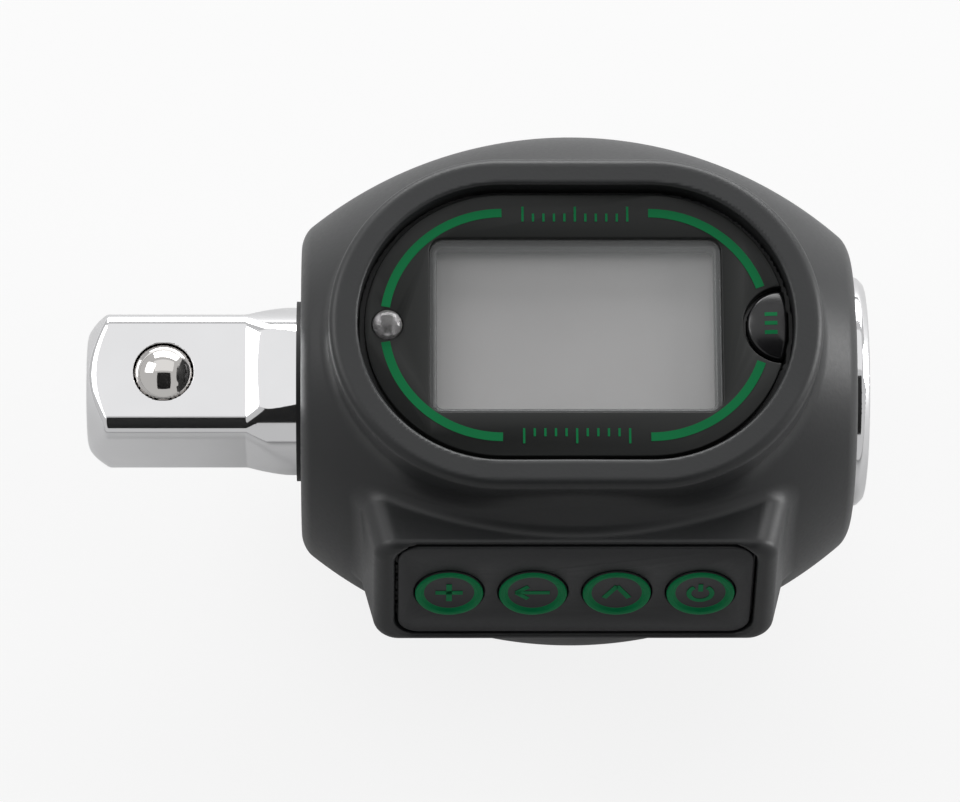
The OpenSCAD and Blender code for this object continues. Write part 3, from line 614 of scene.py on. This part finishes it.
def lathe(profile, count):
    """Points and quads of an outline (radius, height) turned round an upright axis."""
    points, faces = [], []
    for k in range(count):
        a = 2 * math.pi * k / count
        points += [(r * math.cos(a), r * math.sin(a), h) for r, h in profile]
    n = len(profile)
    for k in range(count):
        for i in range(n - 1):
            a, b = k * n + i, (k + 1) % count * n + i
            faces.append((a, b, b + 1, a + 1))
    return np.array(points), faces


def ribbon(path, width, low, high):
    """A flat band along a 2D path, with a top, a bottom and sides."""
    path = np.array(path, float)
    along = np.gradient(path, axis=0)
    along /= np.linalg.norm(along, axis=1, keepdims=True)
    side = np.stack([-along[:, 1], along[:, 0]], 1) * width / 2
    left, right = path + side, path - side
    rows = [np.column_stack([edge, np.full(len(path), h)])
            for edge, h in ((right, low), (right, high), (left, high), (left, low))]
    points = np.concatenate(rows)
    n = len(path)
    faces = []
    for k in range(4):
        for i in range(n - 1):
            a, b = k * n + i, (k + 1) % 4 * n + i
            faces.append((a, a + 1, b + 1, b))
    faces += [(0, n, 2 * n, 3 * n), (n - 1, 4 * n - 1, 3 * n - 1, 2 * n - 1)]
    return points, faces


def merged(parts):
    """Several (points, faces) as one."""
    points, faces, base = [], [], 0
    for p, f in parts:
        points.append(p)
        faces += [tuple(base + i for i in face) for face in f]
        base += len(p)
    return np.concatenate(points), faces


def arc(cx, cy, r, start, end, steps=48):
    """Points of an arc, its angles in degrees."""
    return [(cx + r * math.cos(math.radians(a)), cy + r * math.sin(math.radians(a)))
            for a in np.linspace(start, end, steps)]


# Materials
def new_material(name):
    """A material with its nodes, links and shader."""
    m = bpy.data.materials.new(name)
    m.use_nodes = True
    return m, m.node_tree.nodes, m.node_tree.links, m.node_tree.nodes["Principled BSDF"]


def material(name, color, rough, metallic=0.0, vary=0.12, vary_scale=120, rough_vary=0.06,
             grain=2600, bump=0.0, alpha=1.0, transmission=0.0, ior=1.5, specular=0.5):
    """Procedural finish: cloudy colour, uneven gloss and a fine grain."""
    cloud_detail, grain_detail, cloud_low, cloud_high, relief_height = 4, 2, 0.3, 0.7, 0.04 * MM
    m, nodes, links, shader = new_material(name)
    place = nodes.new("ShaderNodeTexCoord")
    cloud = nodes.new("ShaderNodeTexNoise")
    cloud.inputs["Scale"].default_value = vary_scale
    cloud.inputs["Detail"].default_value = cloud_detail
    links.new(place.outputs["Object"], cloud.inputs["Vector"])
    ramp = nodes.new("ShaderNodeValToRGB")
    dark, pale = ramp.color_ramp.elements
    dark.position = cloud_low
    pale.position = cloud_high
    dark.color = [c * (1 - vary) for c in color] + [1]
    pale.color = [min(1, c * (1 + vary)) for c in color] + [1]
    links.new(cloud.outputs["Fac"], ramp.inputs["Fac"])
    links.new(ramp.outputs["Color"], shader.inputs["Base Color"])
    speck = nodes.new("ShaderNodeTexNoise")
    speck.inputs["Scale"].default_value = grain
    speck.inputs["Detail"].default_value = grain_detail
    links.new(place.outputs["Object"], speck.inputs["Vector"])
    gloss = nodes.new("ShaderNodeMapRange")
    gloss.inputs["To Min"].default_value = max(0.0, rough - rough_vary)
    gloss.inputs["To Max"].default_value = min(1.0, rough + rough_vary)
    links.new(speck.outputs["Fac"], gloss.inputs["Value"])
    links.new(gloss.outputs["Result"], shader.inputs["Roughness"])
    if bump:
        relief = nodes.new("ShaderNodeBump")
        relief.inputs["Strength"].default_value = bump
        relief.inputs["Distance"].default_value = relief_height
        links.new(speck.outputs["Fac"], relief.inputs["Height"])
        links.new(relief.outputs["Normal"], shader.inputs["Normal"])
    shader.inputs["Metallic"].default_value = metallic
    shader.inputs["Alpha"].default_value = alpha
    shader.inputs["Transmission Weight"].default_value = transmission
    shader.inputs["IOR"].default_value = ior
    shader.inputs["Specular IOR Level"].default_value = specular
    return m


SHELL = material("charcoal_shell", (0.024, 0.025, 0.026), 0.42, bump=0.25, vary=0.08, specular=0.45)
CHROME = material("polished_chrome", (0.80, 0.80, 0.81), 0.07, metallic=1, vary=0.02, rough_vary=0.02)
BALL = material("ball_steel", (0.74, 0.72, 0.70), 0.06, metallic=1, vary=0.02, rough_vary=0.02)
STEEL = material("bright_steel", (0.55, 0.55, 0.56), 0.25, metallic=1, vary=0.06)
SPRING = material("spring_steel", (0.36, 0.36, 0.38), 0.3, metallic=1, vary=0.08)
BLACK_SCREW = material("black_oxide_steel", (0.09, 0.09, 0.1), 0.34, metallic=1, vary=0.1)
RUBBER = material("black_rubber", (0.012, 0.012, 0.013), 0.55, bump=0.2)
FACE = material("satin_black_face", (0.010, 0.011, 0.0105), 0.42, vary=0.06, bump=0.06, specular=0.28)
PANEL = material("key_panel_plastic", (0.026, 0.027, 0.029), 0.46, vary=0.06, bump=0.2, specular=0.4)
KEY = material("key_plastic", (0.022, 0.023, 0.025), 0.44, vary=0.06, bump=0.15, specular=0.4)
BUTTON = material("glossy_black_button", (0.010, 0.010, 0.011), 0.2, vary=0.06)
GREEN = material("green_ink", (0.0, 0.150, 0.045), 0.5, vary=0.06, specular=0.15)
KEY_GREEN = material("green_key_ink", (0.0, 0.24, 0.078), 0.5, vary=0.06, specular=0.15)
CAP = material("cap_plastic", (0.030, 0.031, 0.033), 0.5, vary=0.08, bump=0.3)
PANE = material("clear_pane", (0.9, 0.92, 0.92), 0.08, vary=0.01, rough_vary=0.02, alpha=0.1)
LENS = material("clear_lens", (0.92, 0.9, 0.9), 0.05, vary=0.02, rough_vary=0.02, transmission=0.9,
                ior=1.46)
DISPLAY = material("display_grey", (0.40, 0.39, 0.39), 0.36, vary=0.03, vary_scale=60)
HOLDER = material("white_nylon", (0.72, 0.71, 0.68), 0.5, bump=0.1)
BOARD = material("green_circuit_board", (0.012, 0.11, 0.035), 0.32, vary=0.3, vary_scale=900)
SILICONE = material("pink_rubber_strip", (0.62, 0.3, 0.28), 0.5, vary=0.35, vary_scale=2200)
FLEX = material("amber_film", (0.55, 0.22, 0.03), 0.3, vary=0.15, vary_scale=700)
FOIL = material("gauge_foil", (0.45, 0.28, 0.08), 0.35, vary=0.3, vary_scale=3000)
GOLD = material("gold_plate", (0.75, 0.53, 0.2), 0.22, metallic=1, vary=0.05)
WIRE = material("red_wire", (0.42, 0.02, 0.015), 0.42)
CELL = material("nickel_cell", (0.62, 0.62, 0.6), 0.3, metallic=1, vary=0.06, grain=1500)
SEAL = material("brown_seal", (0.12, 0.02, 0.015), 0.55)
SOUNDER = material("sounder_plastic", (0.016, 0.016, 0.018), 0.36)

# Shells and shaft
def square_with_run_outs(x, y, z):
    """Male square: the turned shank with four flats, which ramp out before the housing."""
    crisp, tip_edge, flat_edge, run_on = 0.12, 0.3, 0.5, 0.5
    radius = np.hypot(y, z)
    shank = meet(radius - SHANK_R, between(x, -TIP_X, -WEB_LEFT), crisp)
    tip_slope = (SHANK_R - TIP_R) / TIP_CONE
    cone = (radius - SHANK_R - (x + TIP_X - TIP_CONE) * tip_slope) / math.hypot(1, tip_slope)
    shank = meet(shank, cone, tip_edge)
    slope = (SHANK_R - SQUARE_HALF) / (FLAT_X - RAMP_X)
    for u in (np.abs(y), np.abs(z)):
        flat = u - SQUARE_HALF
        ramp = (u - SQUARE_HALF - (x + FLAT_X) * slope) / math.hypot(1, slope)
        shank = meet(shank, np.where(x < -RAMP_X + run_on, np.minimum(flat, ramp), -1.0), flat_edge)
    return shank


def ball_bore(shank, x, y, z):
    """The shank with the detent ball's bore, its lip and the shallow dish round it."""
    dish_edge = 0.05
    out = np.hypot(x + BALL_X, y)
    low, floor_z = BALL_Z - BORE_DEPTH, SQUARE_HALF - DISH_DEPTH
    dish = (out - DISH_R + (SQUARE_HALF - z) * DISH_SLOPE) / math.hypot(1, DISH_SLOPE)
    shank = cut(shank, np.maximum(dish, floor_z - z), dish_edge)
    shank = np.maximum(shank, -np.maximum(out - MOUTH_R, low - z))
    return np.maximum(shank, -np.maximum(out - BALL_R - BALL_GAP, between(z, low, LIP_Z)))


def sensing_web(x, y, z):
    """Thinner stretch inside the housing, with the four flats that carry the gauges."""
    ends = 0.1
    web = np.maximum(np.hypot(y, z) - WEB_R, between(x, -WEB_LEFT - ends, DRUM_LEFT + ends))
    flats = between(x, -WEB_LEFT + FLAT_MARGIN, DRUM_LEFT - FLAT_MARGIN)
    square = np.maximum(np.abs(y), np.abs(z)) - WEB_FLAT
    return np.where(flats < 0, np.maximum(web, np.maximum(square, flats)), web)


def female_drum(x, y, z):
    """Round female end with its square socket and cross hole."""
    edge, socket_edge, lead_slope = 0.15, 0.1, 2
    radius = np.hypot(y, z)
    drum = meet(radius - DRUM_R, between(x, DRUM_LEFT, RING_X), socket_edge)
    drum = meet(drum, (radius - DRUM_R + x - RING_X + DRUM_EDGE) / math.sqrt(2), edge)
    square = np.maximum(np.abs(y), np.abs(z)) - SOCKET_HALF
    square = np.maximum(square, RING_X - SOCKET_DEPTH - x)
    lead = (radius - SOCKET_HALF - LEAD_W - (x - RING_X) * lead_slope) / math.hypot(1, lead_slope)
    lead = np.maximum(lead, RING_X - LEAD_W / 2 - x)
    drum = cut(drum, np.minimum(square, lead), socket_edge)
    cross = np.maximum(np.hypot(x - RING_X + SOCKET_DEPTH / 2, y) - CROSS_HOLE_R, -z)
    return cut(drum, cross, socket_edge)


def shaft_field(x, y, z):
    """Steel shaft in one piece, with the grooves of its two retaining rings."""
    radius = np.hypot(y, z)
    shank = ball_bore(square_with_run_outs(x, y, z), x, y, z)
    d = np.minimum(shank, np.minimum(sensing_web(x, y, z), female_drum(x, y, z)))
    for r, start in ((SHANK_R, -CLIP_LEFT - CLIP_T), (DRUM_R, CLIP_RIGHT)):
        groove = np.maximum(r - CLIP_DEPTH - radius, between(x, start, start + CLIP_T))
        d = np.maximum(d, -np.maximum(groove, radius - r - OVER))
    return d


field_piece("main_housing_shell", "main_housing", housing_field, HOUSING_GRID, SHELL)
field_piece("rear_cover_shell", "rear_cover", cover_field, COVER_GRID, SHELL)
field_piece("drive_shaft_steel", "drive_shaft", shaft_field, SHAFT_GRID, CHROME)
for rounded_node, rounded_finish, rounding in (("faceplate", FACE, 0.12), ("keypad_panel", PANEL, 0.15),
                                               ("battery_cap", CAP, 0.2), ("lcd_window", PANE, 0.1)):
    bevelled(rounded_node, rounded_finish, rounding)


# Spring
def spring():
    """Coiled wire from the bottom of the bore to the ball, with closed ends."""
    low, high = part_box("detent_spring")
    wire, turns, closed, per_turn, around = 0.28, 5, 0.8, 28, 10
    cx = ((low.x + high.x) / 2 - AXIS[0]) / MM
    base, top = (low.z - AXIS[2]) / MM + wire, (high.z - AXIS[2]) / MM - wire
    r = (high.x - low.x) / 2 / MM - wire
    points = []
    steps = turns * per_turn
    for i in range(steps + 1):
        a = 2 * math.pi * turns * i / steps
        share = min(max((i / steps * turns - closed) / (turns - 2 * closed), 0), 1)
        centre = np.array([r * math.cos(a), r * math.sin(a), base + share * (top - base)])
        out = np.array([math.cos(a), math.sin(a), 0])
        for k in range(around):
            b = 2 * math.pi * k / around
            points.append(centre + wire * (math.cos(b) * out + math.sin(b) * np.array([0, 0, 1])))
    faces = []
    for i in range(steps):
        for k in range(around):
            a, b = i * around + k, i * around + (k + 1) % around
            faces.append((a, a + around, b + around, b))
    faces += [tuple(range(around)), tuple(steps * around + k for k in reversed(range(around)))]
    points = np.array(points) + (cx, 0, 0)
    obj = add_mesh("detent_spring_coil", placed(points), faces, [SPRING], body_of("detent_spring"))
    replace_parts(obj, "detent_spring")
    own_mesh(obj)


spring()


# Display
def printed(name, parts):
    """Green print on the faceplate."""
    points, faces = merged(parts)
    add_mesh(name, placed(points), faces, [GREEN], body_of("faceplate"), smooth=False)


def face_stroke(path, width):
    """A printed stroke on the faceplate's front."""
    return ribbon(path, width, FACE_Z - INK / 2, FACE_Z + INK)


def arcs():
    """Green printed arcs on the faceplate, broken at the lamp and the mode button."""
    r, width, lamp_gap, mode_gap = 11.2, 0.85, 9.0, 19.5
    spans = ((-OVAL_X, 90, 180 - lamp_gap), (-OVAL_X, 180 + lamp_gap, 270),
             (OVAL_X, 90, mode_gap), (OVAL_X, -mode_gap, -90))
    printed("faceplate_arcs", [face_stroke(arc(cx, 0, r, start, end), width) for cx, start, end in spans])


def scale_marks():
    """Plain scale strokes between the arcs, above and below the window."""
    count, pitch, width, start, long, short, long_each = 11, 1.0, 0.22, 10.35, 1.5, 0.8, 5
    parts = []
    for side in (-1, 1):
        for i in range(count):
            x = (i - (count - 1) / 2) * pitch
            length = short if i % long_each else long
            parts.append(face_stroke([(x, side * start), (x, side * (start + length))], width))
    printed("faceplate_scale", parts)


arcs()
scale_marks()


def crown_height(x, y):
    """Height of the mode button's crowned top."""
    return FACE_Z + MODE_RISE - CROWN_R + np.sqrt(CROWN_R ** 2 - (x - RIDGE_X) ** 2 - y ** 2)


def button_field(x, y, z):
    """Half-moon mode button: a crowned top with a facet along its outer edge, flange and stem."""
    crown_z = z - FACE_Z - MODE_RISE
    crown = np.sqrt((x - RIDGE_X) ** 2 + y ** 2 + (crown_z + CROWN_R) ** 2) - CROWN_R
    facet = (x - RIDGE_X) * math.sin(FACET_TILT) + crown_z * math.cos(FACET_TILT)
    side = meet(rod(x, y, MODE_X, 0, MODE_R), oval(x, y, FACE_R - MODE_GAP), MODE_ROUND)
    top = meet(side, meet(crown, facet, FACET_EDGE), MODE_ROUND)
    top = np.maximum(top, DECK_Z - SINK - z)
    flange = np.maximum(rod(x, y, MODE_X, 0, MODE_R + MODE_FLANGE), oval(x, y, FACE_R - MODE_FLANGE_GAP))
    flange = np.maximum(flange, between(z, DECK_Z - MODE_FLANGE_T, DECK_Z))
    stem = rod(x, y, MODE_STEM_X, 0, MODE_STEM_R)
    stem = np.maximum(stem, between(z, MODE_STEM_LOW, MODE_STEM_TOP))
    return np.minimum(np.minimum(top, flange), stem)


def button_mark():
    """Three plain green bars on the mode button, lying on its crown."""
    ink, width, pitch, steps = 0.03, 0.38, 0.9, 8
    left, right = RIDGE_X - 1.25, RIDGE_X - 0.05
    parts = []
    for k in (-1, 0, 1):
        points, faces = ribbon([(x, k * pitch) for x in np.linspace(left, right, steps)], width, -ink, ink)
        points[:, 2] += crown_height(points[:, 0], points[:, 1])
        parts.append((points, faces))
    points, faces = merged(parts)
    add_mesh("mode_button_mark", placed(points), faces, [GREEN], body_of("mode_button"), smooth=False)


field_piece("mode_button_cap", "mode_button", button_field, BUTTON_GRID, BUTTON)
button_mark()


def lamp():
    """Clear lamp with a domed top and a small cup inside."""
    lens_count, cup_count, dome_steps = 48, 32, 14
    quarter = np.linspace(0, math.pi / 2, dome_steps)
    dome = [(LAMP_R * math.cos(a), FACE_Z + LAMP_DOME * math.sin(a)) for a in quarter]
    dome[-1] = (0.0, dome[-1][1])
    points, faces = lathe([(0.0, BOARD_TOP), (LAMP_R, BOARD_TOP)] + dome, lens_count)
    centre, body = (-LAMP_X, 0, 0), body_of("led_lamp")
    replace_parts(add_mesh("led_lamp_lens", placed(points + centre), faces, [LENS], body), "led_lamp")
    points, faces = lathe(LAMP_CUP, cup_count)
    add_mesh("led_lamp_cup", placed(points + centre), faces, [STEEL], body)


lamp()


# Keys
def key(node, k, strokes):
    """A round key with a raised green ring and a green mark."""
    segments = 64
    dish = PANEL_TOP + KEY_RISE
    outer, flange_low = KEY_R + KEY_FLANGE, PAD_FLOOR - KEY_FLANGE_T
    ring = [(KEY_R - KEY_RING_W + r, PANEL_TOP + h) for r, h in RING_INNER]
    ring += [(KEY_R + r, PANEL_TOP + h) for r, h in RING_OUTER]
    under = [(KEY_R, PAD_FLOOR), (outer, PAD_FLOOR), (outer, flange_low), (KEY_STEM_R, flange_low),
             (KEY_STEM_R, KEY_STEM_LOW), (0.0, KEY_STEM_LOW)]
    profile = [(0.0, dish)] + ring + under
    points, faces = lathe(profile[::-1], segments)
    green_bands = {len(under) + i for i in range(len(ring) - 1)}
    indices = [int(i % (len(profile) - 1) in green_bands) for i in range(len(faces))]
    shift = ((k - (KEY_COUNT - 1) / 2) * KEY_PITCH, KEY_ROW, 0)
    body = body_of(node)
    obj = add_mesh(node + "_cap", placed(from_pad(points + shift)), faces, [KEY, KEY_GREEN], body,
                   indices=indices)
    sharpen(obj)
    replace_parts(obj, node)
    low, high = dish - MARK_SINK, dish + INK
    points, faces = merged([ribbon(path, width, low, high) for path, width in strokes])
    add_mesh(node + "_mark", placed(from_pad(points + shift)), faces, [KEY_GREEN], body, smooth=False)


def drawn(width, *paths):
    """Strokes of one width, along the given paths."""
    return [(path, width) for path in paths]


KEY_STROKES = {
    "plus_key": drawn(0.54, [(-1.3, 0), (1.3, 0)], [(0, -1.3), (0, 1.3)]),
    "back_key": drawn(0.46, [(-1.5, 0), (1.6, 0)], [(-0.45, 0.95), (-1.6, 0.0)],
                      [(-0.45, -0.95), (-1.6, 0.0)]),
    "peak_key": drawn(0.5, [(-1.2, -0.8), (0, 1.0)], [(0, 1.0), (1.2, -0.8)]),
    "power_key": drawn(0.46, arc(0, -0.1, 1.1, 125, 415, 40), [(0, 0.2), (0, 1.3)]),
}
for key_number, (key_node, key_strokes) in enumerate(KEY_STROKES.items()):
    key(key_node, key_number, key_strokes)


# Carried-over nodes
def paint(node, finish):
    """A carried-over node's finish."""
    slots = frame["nodes"][node].data.materials
    slots.clear()
    slots.append(finish)


FINISHES = {
    "detent_ball": BALL, "cover_gasket": RUBBER, "shaft_seal_left": RUBBER,
    "shaft_seal_right": RUBBER, "retaining_ring_left": SPRING, "retaining_ring_right": SPRING,
    "lcd_panel": DISPLAY, "lcd_holder": HOLDER, "connector_strips": SILICONE,
    "main_board": BOARD, "board_screws": STEEL, "mode_switch": STEEL, "keypad_board": BOARD,
    "key_domes": STEEL, "keypad_screws": STEEL, "keypad_ribbon": FLEX, "strain_gauges": FOIL,
    "gauge_ribbon": FLEX, "battery_board": BOARD, "buzzer": SOUNDER, "contact_positive": GOLD,
    "contact_negative": GOLD, "battery_wires": WIRE, "coin_cell": CELL, "cap_seal": SEAL,
    "cover_screws": BLACK_SCREW,
}
for node_name, finish in FINISHES.items():
    paint(node_name, finish)


# Floor, light and camera
def stage_plane(name, corners, finish):
    """A flat piece of the studio."""
    mesh = bpy.data.meshes.new(name)
    mesh.from_pydata(corners, [], [(0, 1, 2, 3)])
    mesh.materials.append(finish)
    linked(name, mesh)


def floor():
    """Pale floor that the camera sees nearly white, with the part's shadow."""
    half, grey, rough, glow_share = 1.5, 0.8, 0.9, 0.85
    m, nodes, links, shader = new_material("pale_floor")
    shader.inputs["Base Color"].default_value = (grey, grey, grey, 1)
    shader.inputs["Roughness"].default_value = rough
    glow = nodes.new("ShaderNodeEmission")
    path = nodes.new("ShaderNodeLightPath")
    seen = nodes.new("ShaderNodeMath")
    seen.operation = "MULTIPLY"
    seen.inputs[1].default_value = glow_share
    links.new(path.outputs["Is Camera Ray"], seen.inputs[0])
    mix = nodes.new("ShaderNodeMixShader")
    links.new(seen.outputs[0], mix.inputs[0])
    links.new(shader.outputs[0], mix.inputs[1])
    links.new(glow.outputs[0], mix.inputs[2])
    links.new(mix.outputs[0], nodes["Material Output"].inputs["Surface"])
    stage_plane("floor", [(-half, -half, 0), (half, -half, 0), (half, half, 0), (-half, half, 0)], m)


def dark_card():
    """Black card over the front, behind the camera, that the polished steel mirrors."""
    front, back, half, dark, rough = (-0.70, 0.40), (-0.03, 0.75), 0.3, 0.01, 0.9
    m, _, _, shader = new_material("black_card")
    shader.inputs["Base Color"].default_value = (dark, dark, dark, 1)
    shader.inputs["Roughness"].default_value = rough
    stage_plane("dark_card", [(-half, *front), (half, *front), (half, *back), (-half, *back)], m)


def world():
    """White for the camera, pale for gloss and dim for the soft light all round."""
    w = bpy.data.worlds.new("studio")
    bpy.context.scene.world = w
    w.use_nodes = True
    nodes, links = w.node_tree.nodes, w.node_tree.links
    path = nodes.new("ShaderNodeLightPath")
    shader = nodes["Background"].outputs[0]
    soft, gloss, clear = 0.2, 0.6, 1.0
    nodes["Background"].inputs["Color"].default_value = (1, 1, 1, 1)
    nodes["Background"].inputs["Strength"].default_value = soft
    rays = (("Is Glossy Ray", gloss), ("Is Transmission Ray", clear), ("Is Camera Ray", clear))
    for ray, strength in rays:
        layer = nodes.new("ShaderNodeBackground")
        layer.inputs["Color"].default_value = (1, 1, 1, 1)
        layer.inputs["Strength"].default_value = strength
        mix = nodes.new("ShaderNodeMixShader")
        links.new(path.outputs[ray], mix.inputs[0])
        links.new(shader, mix.inputs[1])
        links.new(layer.outputs[0], mix.inputs[2])
        shader = mix.outputs[0]
    links.new(shader, nodes["World Output"].inputs["Surface"])


def softbox(name, place, size, power):
    """A rectangular light, in metres and watts, aimed at the part's middle."""
    target = Vector((0, 0, 0.02))
    light = bpy.data.lights.new(name, "AREA")
    light.shape = "RECTANGLE"
    light.size, light.size_y = size
    light.energy = power
    obj = linked(name, light)
    obj.location = place
    obj.rotation_euler = (target - Vector(place)).to_track_quat("-Z", "Y").to_euler()


def camera():
    """The photograph's view: a long lens, looking down on the display from the front."""
    tilt, turn, distance = math.radians(18), math.radians(-1), 0.6
    aim = Vector((0.43, -0.387, 23.11)) * MM
    back = Vector((math.sin(turn), -math.sin(tilt), math.cos(tilt))).normalized()
    up = Vector((0, math.cos(tilt), math.sin(tilt)))
    right = up.cross(back).normalized()
    up = back.cross(right)
    data = bpy.data.cameras.new("camera")
    data.sensor_width = 36
    data.lens = 229.5
    data.clip_start = 0.01
    obj = linked("camera", data)
    turned = Matrix((right, up, back)).transposed().to_4x4()
    obj.matrix_world = Matrix.Translation(aim + distance * back) @ turned
    bpy.context.scene.camera = obj


LIGHTS = (
    ("back_light", (0.05, 0.55, 0.2), (0.7, 0.3), 3.8),
    ("top_light", (0.0, 0.30, 0.66), (0.9, 0.55), 0.55),
    ("left_light", (-0.40, 0.17, 0.36), (0.3, 0.3), 0.9),
    ("right_light", (0.50, 0.12, 0.16), (0.2, 0.35), 1.6),
)
floor()
world()
dark_card()
for light_row in LIGHTS:
    softbox(*light_row)
camera()
bpy.context.scene.view_settings.view_transform = "Standard"
